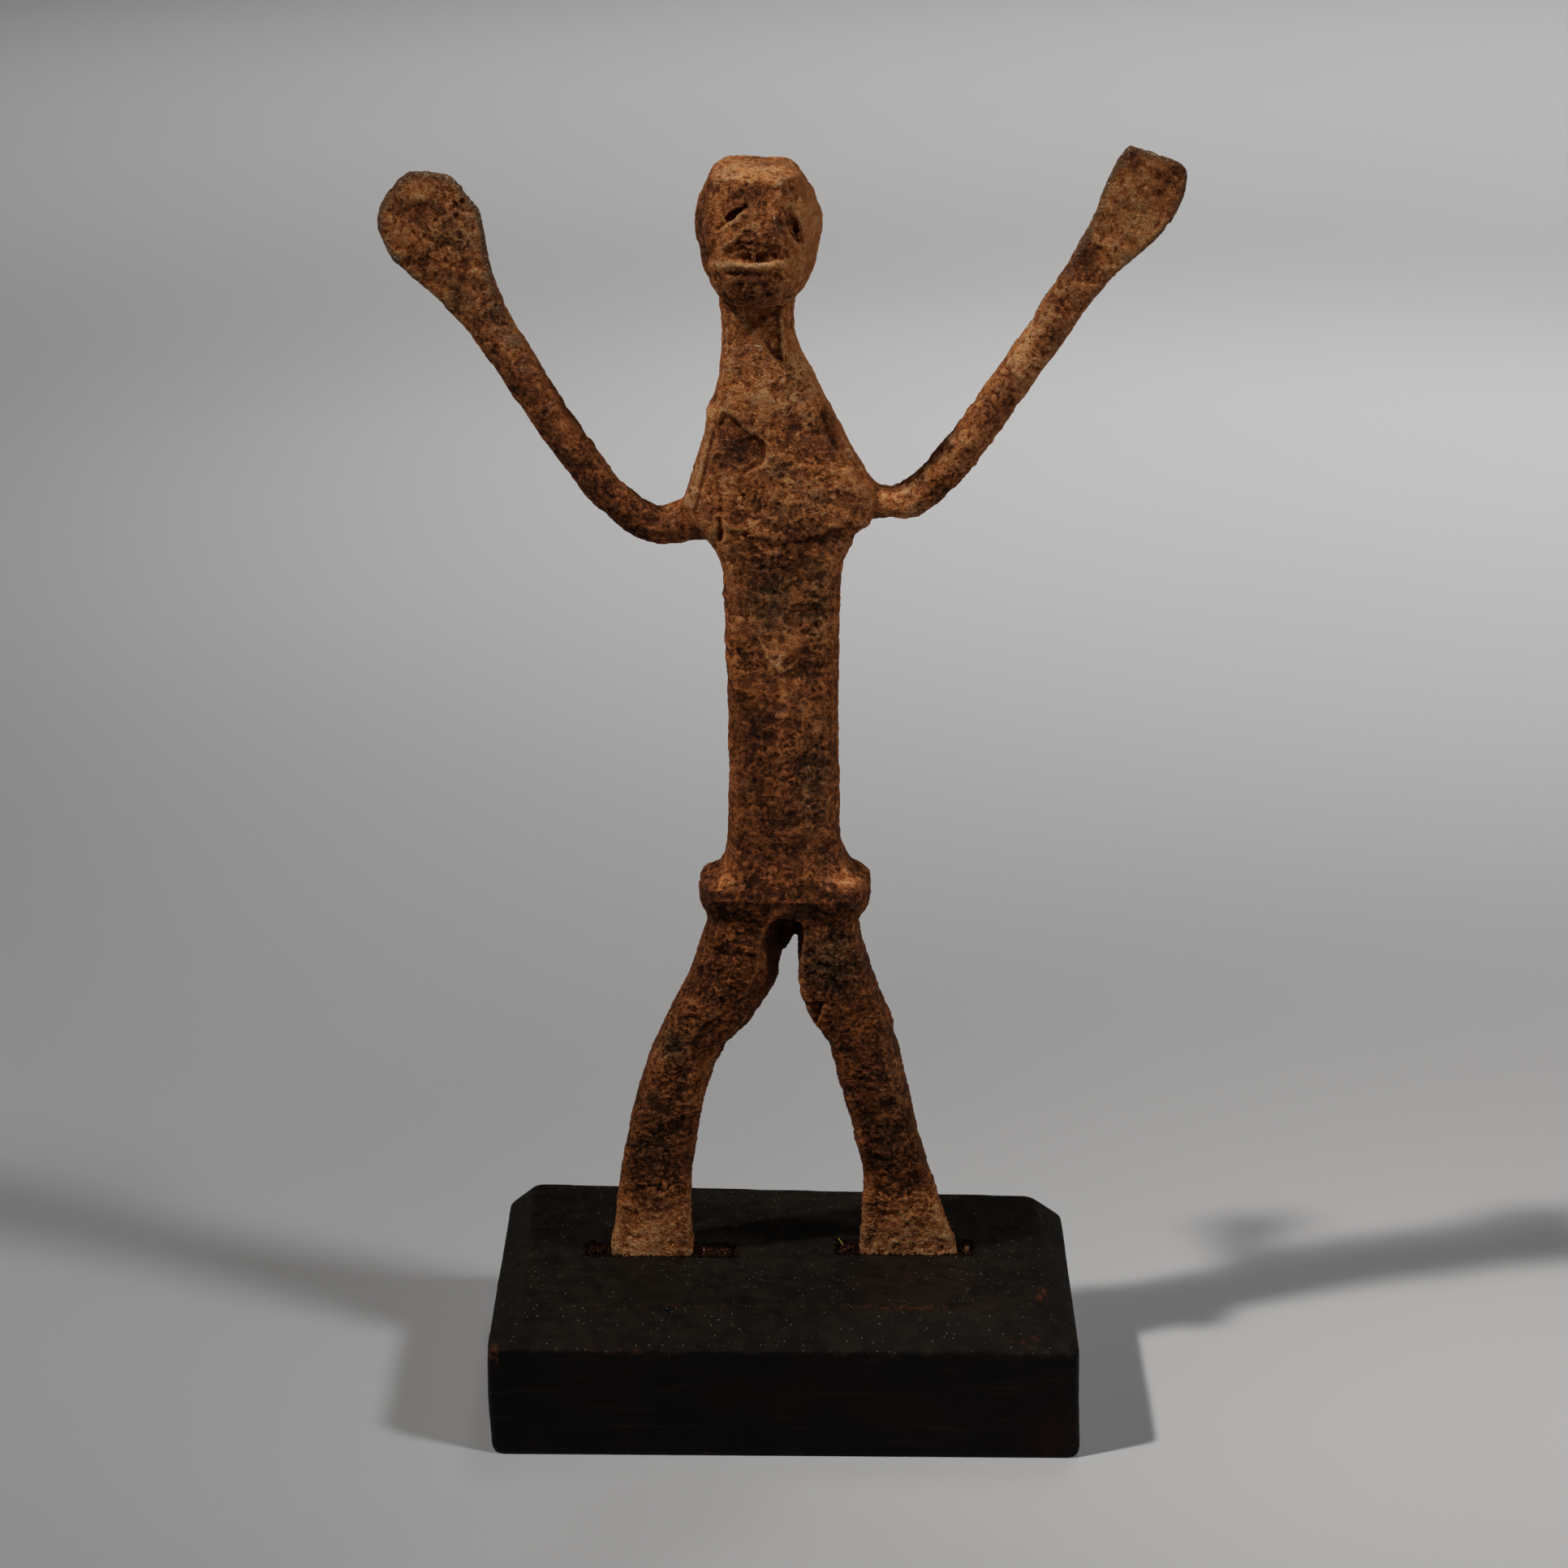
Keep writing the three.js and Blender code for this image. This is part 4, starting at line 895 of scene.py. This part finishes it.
def black_wood():
    n = Nodes("black_wood")
    grain = n.noise(1.6, 4, 0.6, 0.3, n.moved((0, 0, 0), (0.08, 1, 1)))
    cloud = n.noise(24, 3, 0.6, 0.5)
    patina = n.noise(5, 4, 0.62, 0.8)
    fine = n.noise(0.7, 3, 0.6, 0.4)
    upward = n.attribute("upward")
    n.colour = n.mix(n.span(cloud, 0.35, 0.65), linear(14, 13, 13), linear(19, 16, 14))
    # Upward faces lighter: dust, and painted sheen standing in for the top's reflection of the bright
    # surroundings
    dust_and_sheen = n.times(n.span(upward, 0.6, 0.98), n.span(patina, 0.25, 0.75, 0.1, 0.9))
    n.colour = n.mix(dust_and_sheen, n.colour, linear(39, 33, 25))
    n.tint(n.span(grain, 0.55, 0.7), 0.35, linear(44, 33, 22))
    red = n.times(n.attribute("red"), n.span(patina, 0.35, 0.6, 0.4, 1))
    n.tint(red, 0.8, linear(58, 20, 14))
    rub = n.times(n.span(n.attribute("crest"), 0.66, 0.9), n.span(patina, 0.55, 0.7))
    n.tint(rub, 0.3, linear(62, 44, 32))
    wear = n.times(n.attribute("wear"), n.span(n.noise(2, 4, 0.65, 0.5), 0.46, 0.6))
    n.tint(wear, 0.75, linear(124, 66, 36))
    distance, pick = n.cells(1.1)
    fleck = n.times(n.span(distance, 0.13, 0.07), n.span(pick, 0.48, 0.6))
    fleck = n.times(fleck, n.span(upward, 0.6, 0.9, 0.25, 1))
    n.tint(fleck, 0.8, linear(176, 172, 160))
    height = n.weighted(((grain, 0.8), (fine, 0.8)), 0)
    return n.done(n.span(patina, 0.25, 0.75, 0.44, 0.62), 0.05, height, 0.16, 0.8)


# Dirt in the slots: a crumbly bed at each foot, its blackish colour partly painted shade of the slot, loose
# grains, resin, fibres and a chip of wood

SLOT_TOP = 29.9
BED_LEVEL = 29.3
# The beds: name, left, right, front and back
DIRT_BEDS = (("left_slot_dirt", (-44.5, -11.5, 0.7, 7.8)), ("right_slot_dirt", (11.9, 42.1, 2.5, 10.3)))
# Hollows in the beds: x, y and reach to the sides
SLOT_HOLES = ((-12.6, 3.6, 1.6), (-41.6, 2.6, 1.4), (39.2, 6, 0.8), (43, 6, 1.2), (12.6, 8.4, 1))
HOLE_DEPTH = 1.8
HOLE_BACK = 1.6
DIRT_STEP = 0.3
DIRT_DEPTH = 2.6


def dirt_bed(name, bounds):
    """A closed block of filler with a lumpy top, as wide and deep as its slot."""
    left, right, front, back = bounds
    columns = int((right - left) / DIRT_STEP)
    rows = int((back - front) / DIRT_STEP)
    xs, ys = np.meshgrid(np.linspace(left, right, columns), np.linspace(front, back, rows), indexing="ij")
    flat = np.stack((xs.ravel(), ys.ravel(), np.full(xs.size, BED_LEVEL)), 1)
    lumps = 0.6 * ridged(flat, 1.4, 3, 41) - 0.3 + 0.45 * fractal(flat, 2.2, 3, 44)
    for x, y, reach in SLOT_HOLES:
        hole = ((flat[:, 0] - x) / reach) ** 2
        lumps -= HOLE_DEPTH * np.exp(-hole - ((flat[:, 1] - y) / HOLE_BACK) ** 2)
    tops = flat.copy()
    tops[:, 2] = np.minimum(BED_LEVEL + lumps, SLOT_TOP - 0.1)
    low = flat - (0, 0, DIRT_DEPTH)
    build = bmesh.new()
    upper = [build.verts.new(p * MM) for p in tops]
    lower = [build.verts.new(p * MM) for p in low]
    grid = np.arange(columns * rows).reshape(columns, rows)
    for i in range(columns - 1):
        for j in range(rows - 1):
            a, b, c, d = grid[i, j], grid[i + 1, j], grid[i + 1, j + 1], grid[i, j + 1]
            build.faces.new([upper[k] for k in (a, b, c, d)])
            build.faces.new([lower[k] for k in (d, c, b, a)])
    rim = [*grid[:, 0], *grid[-1, 1:], *grid[-2::-1, -1], *grid[0, -2:0:-1]]
    for one, other in zip(rim, rim[1:] + rim[:1]):
        build.faces.new((lower[one], lower[other], upper[other], upper[one]))
    bmesh.ops.recalc_face_normals(build, faces=build.faces)
    return built(name, build)


def lump(build, place, size, rng):
    """Adds one irregular closed grain to a mesh being built."""
    made = bmesh.ops.create_icosphere(build, subdivisions=2, radius=1.0)["verts"]
    stretch = Vector(rng.uniform(0.7, 1.3, 3))
    turn = Matrix.Rotation(rng.uniform(0, math.tau), 3, Vector(rng.normal(size=3)).normalized())
    shift = rng.uniform(-50, 50, 3)
    at = np.array([v.co[:] for v in made])
    bumps = 1 + 0.3 * noise(at + shift, 0.9, 46)
    for vert, bump in zip(made, bumps):
        local = Vector([v * s for v, s in zip(vert.co * bump, stretch)])
        vert.co = (turn @ local * size + Vector(place)) * MM


# Heaps of rust grains at the slots' ends: middle x and y, spread each way, how many
GRAIN_SPOTS = (
    (-42, 4.2, 1.6, 1, 40), (-17.4, 3.6, 1, 0.8, 44), (-14.6, 3.6, 1.3, 0.9, 44), (14, 5.6, 1, 0.9, 40),
    (40.6, 5.4, 0.7, 0.8, 20),
)
# Rims of the slots, where dark crumbs lie over the edge: middle x and y, half width, spread in y, how many
RIM_SPOTS = (
    (-44.2, 4.4, 1.3, 2.5, 70), (-11.8, 4.2, 1.6, 2.5, 80), (12.2, 6.2, 1.3, 2.5, 70),
    (41.9, 6, 1, 2.5, 50), (-28, 0.8, 16, 0.4, 90), (27, 2.6, 14.6, 0.4, 80),
)
# How many spreads from the middle a grain may lie, and the heights and sizes of grains
WIDEST = 1.5
IN_HEAP = (29.2, 29.8)
ON_TOP = (29.82, 29.95)
ON_BED = (29.25, 29.5)
GRAIN_SIZES = (0.14, 0.36)
RIM_SIZES = (0.1, 0.3)
RESIN_LUMPS = (((-18.6, 3.4, 29.3), 1.25), ((-17.2, 4.4, 29.2), 0.9))
CHIP_AT = (40.9, 5, 29.6)


def crumbs():
    """Loose rust grains heaped at the open ends of the slots."""
    rng = np.random.default_rng(7)
    build = bmesh.new()
    for x, y, reach_x, reach_y, count in GRAIN_SPOTS:
        for _ in range(count):
            across, back = np.clip(rng.normal(size=2), -WIDEST, WIDEST) * (reach_x, reach_y)
            place = (x + across, y + back, rng.uniform(*IN_HEAP))
            lump(build, place, rng.uniform(*GRAIN_SIZES), rng)
    return built("rust_crumbs", build)


def rim_crumbs():
    """Dark grains that break up the slots' straight edges, on the block's top or on the bed."""
    rng = np.random.default_rng(21)
    build = bmesh.new()
    for x, y, reach_x, reach_y, count in RIM_SPOTS:
        for _ in range(count):
            px = x + rng.uniform(-1, 1) * reach_x
            py = y + float(np.clip(rng.normal(), -WIDEST, WIDEST)) * reach_y
            over_bed = any(b[0] < px < b[1] and b[2] < py < b[3] for _, b in DIRT_BEDS)
            pz = rng.uniform(*(ON_BED if over_bed else ON_TOP))
            lump(build, (px, py, pz), rng.uniform(*RIM_SIZES), rng)
    return built("slot_rim_crumbs", build)


def resin_drop():
    rng = np.random.default_rng(3)
    build = bmesh.new()
    for place, size in RESIN_LUMPS:
        lump(build, place, size, rng)
    return built("resin_drop", build)


def wood_chip():
    build = bmesh.new()
    bmesh.ops.create_cube(build, size=1.0)
    bmesh.ops.bevel(build, geom=build.edges[:], offset=0.08, segments=2, affect="EDGES")
    right, back, up = CHIP_AT
    for vert in build.verts:
        x, y, z = vert.co
        vert.co = Vector((right + x * 1.1 + z * 0.2, back + y * 0.9, up + z * 1.9 - x * 0.2)) * MM
    return built("wood_chip", build)


def fibre(name, route, radius):
    """A hair or plant fibre: a thin round tube along a smooth route."""
    curve = bpy.data.curves.new(name, "CURVE")
    curve.dimensions = "3D"
    curve.bevel_depth = radius * MM
    curve.bevel_resolution = 1
    curve.use_fill_caps = True
    spline = curve.splines.new("BEZIER")
    spline.bezier_points.add(len(route) - 1)
    for point, place in zip(spline.bezier_points, route):
        point.co = Vector(place) * MM
        point.handle_left_type = point.handle_right_type = "AUTO"
    piece = add_object(name, curve)
    mesh = evaluated(piece)
    bpy.data.objects.remove(piece)
    return add_object(name, mesh)


STRAW = ((12, 8.6, 30.6), (12.7, 7.4, 30.2), (13.4, 6.4, 29.4))
STRAW_RADIUS = 0.13
LINT_COUNT = 16
LINT_RADIUS = 0.03
LINT_LENGTHS = (0.4, 1.1)
LINT_LEVEL = 29.93


def lint():
    """Short curled dust hairs lying on the block's top."""
    rng = np.random.default_rng(12)
    hairs = []
    for k in range(LINT_COUNT):
        x, y = rng.uniform(-50, 50), rng.uniform(-22, 0)
        turn, bend = rng.uniform(0, math.tau), rng.uniform(-0.7, 0.7)
        length = rng.uniform(*LINT_LENGTHS)
        route = []
        for share in (-1, 0, 1):
            angle = turn + bend * share
            reach = share * length
            route.append((x + reach * math.cos(angle), y + reach * math.sin(angle), LINT_LEVEL))
        hairs.append(fibre(f"lint_{k}", route, LINT_RADIUS))
    first = hairs[0]
    with bpy.context.temp_override(active_object=first, selected_editable_objects=hairs):
        bpy.ops.object.join()
    first.name = "dust_hairs"
    return first


def speckled(name, colour, roughness, size, spread, specular=0.1):
    """A speckled material for the small trim, of a colour as seen on a screen."""
    n = Nodes(name)
    light = linear(*colour)
    darker = tuple(c * spread for c in light[:3]) + (1.0,)
    shade = n.noise(size, 3, 0.6, 0.8)
    n.colour = n.mix(n.span(shade, 0.35, 0.65), darker, light)
    return n.done(roughness, specular, shade, 0.1, 0.6)


# Stage: pale floor, camera and studio light

FLOOR_SIZE = 24.0
FLOOR_TONES = (linear(204, 203, 203), linear(207, 206, 206))
CAMERA_AT = (10.78, -728.773, 375.21)
CAMERA_PITCH = 17.8
CAMERA_YAW = 0.86
IMAGE_PIXELS = 1932
FOCAL_PIXELS = 4400
SENSOR = 36.0


def floor():
    build = bmesh.new()
    bmesh.ops.create_grid(build, x_segments=8, y_segments=8, size=FLOOR_SIZE / 2)
    ground = built("floor", build)
    n = Nodes("pale_floor")
    n.colour = n.mix(n.noise(260, 3, 0.5), *FLOOR_TONES)
    ground.data.materials.append(n.done(0.9, 0.5, n.noise(3, 3, 0.6), 0.1, 0.15))


def camera():
    lens = bpy.data.cameras.new("camera")
    lens.sensor_width = SENSOR
    lens.lens = SENSOR * FOCAL_PIXELS / IMAGE_PIXELS
    lens.clip_end = 100.0
    eye = add_object("camera", lens)
    eye.location = Vector(CAMERA_AT) * MM
    eye.rotation_euler = (math.radians(90 - CAMERA_PITCH), 0, math.radians(CAMERA_YAW))
    bpy.context.scene.camera = eye


KEY_FROM = (-0.735, -0.29, 1)
KEY_SPREAD = 3.5
KEY_COLOUR = (1, 0.985, 0.96)
SUN_STRENGTH = 0.62
FILL_FROM = (1.02, -0.42, 1)
ABOVE = (0, 0, 1)
# Beams: where each comes from and aims at, its distance, cone, lamp radius, strength and colour
BEAMS = (
    ("key_beam", KEY_FROM, (0.196, -0.035, 0), 4.5, 6, 0.14, 1.74, KEY_COLOUR),
    ("fill_beam", FILL_FROM, (-0.223, -0.004, 0), 3, 12, 0.26, 1.68, (0.98, 0.99, 1)),
    ("near_backdrop", ABOVE, (0.28, 0.746, 0), 2, 47.6, 0.2, 1.28, (1, 1, 1)),
    ("far_backdrop", ABOVE, (0.926, 2.412, 0), 4, 71.8, 0.4, 2.04, (1, 1, 1)),
)
WORLD_COLOUR = (0.94, 0.97, 1, 1)
WORLD_STRENGTH = 0.014
MIDDLE = (0, 0, 0.13)


def aimed(light, direction, distance, target=MIDDLE):
    direction = Vector(direction).normalized()
    light.location = Vector(target) + direction * distance
    light.rotation_euler = direction.to_track_quat("Z", "Y").to_euler()


def beam(name, direction, target, distance, cone, radius, strength, colour):
    """A spot lamp that fades softly from its middle, of a given strength where it is aimed."""
    data = bpy.data.lights.new(name, "SPOT")
    data.energy = strength * 4 * math.pi * distance**2
    data.spot_size = math.radians(cone)
    data.spot_blend = 1.0
    data.shadow_soft_size = radius
    data.color = colour
    light = add_object(name, data)
    light.visible_camera = False
    aimed(light, direction, distance, target)


def studio_light():
    sun = bpy.data.lights.new("key", "SUN")
    sun.energy = SUN_STRENGTH
    sun.angle = math.radians(KEY_SPREAD)
    sun.color = KEY_COLOUR
    aimed(add_object("key", sun), KEY_FROM, 2)
    for settings in BEAMS:
        beam(*settings)
    world = bpy.data.worlds.new("studio")
    world.use_nodes = True
    background = world.node_tree.nodes["Background"]
    background.inputs["Color"].default_value = WORLD_COLOUR
    background.inputs["Strength"].default_value = WORLD_STRENGTH
    bpy.context.scene.world = world
    bpy.context.scene.view_settings.view_transform = "Standard"


def shaded(piece, material, node=None):
    piece.data.materials.clear()
    piece.data.materials.append(material)
    piece.data.shade_smooth()
    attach(piece, "root")
    if node:
        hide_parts(node)


camera()
floor()
studio_light()
figure = sculpted_figure()
surface_facts(figure)
shaded(figure, rusty_iron(), "figure")
base = softened_base()
base_facts(base)
shaded(base, black_wood(), "base")

# The slot beds' blackish brown: dirt, and partly painted shade of the slots' recess
slot_fill_and_shade = speckled("slot_dirt_and_shade", (36, 25, 18), 0.95, 1.4, 0.15, 0.02)
for name, bounds in DIRT_BEDS:
    shaded(dirt_bed(name, bounds), slot_fill_and_shade)
grains = speckled("rust_grains", (96, 54, 34), 0.9, 1.2, 0.2)
shaded(crumbs(), grains)
shaded(rim_crumbs(), speckled("rim_dirt", (52, 36, 26), 0.95, 0.8, 0.2, 0.02))
shaded(resin_drop(), speckled("resin", (84, 20, 10), 0.3, 1, 0.3, 0.4))
shaded(wood_chip(), speckled("chip", (124, 84, 56), 0.9, 0.8, 0.5))
yellow = speckled("straw", (190, 176, 60), 0.5, 1, 0.6)
shaded(fibre("straw", STRAW, STRAW_RADIUS), yellow)
shaded(lint(), speckled("lint", (120, 118, 110), 0.9, 1, 0.7))
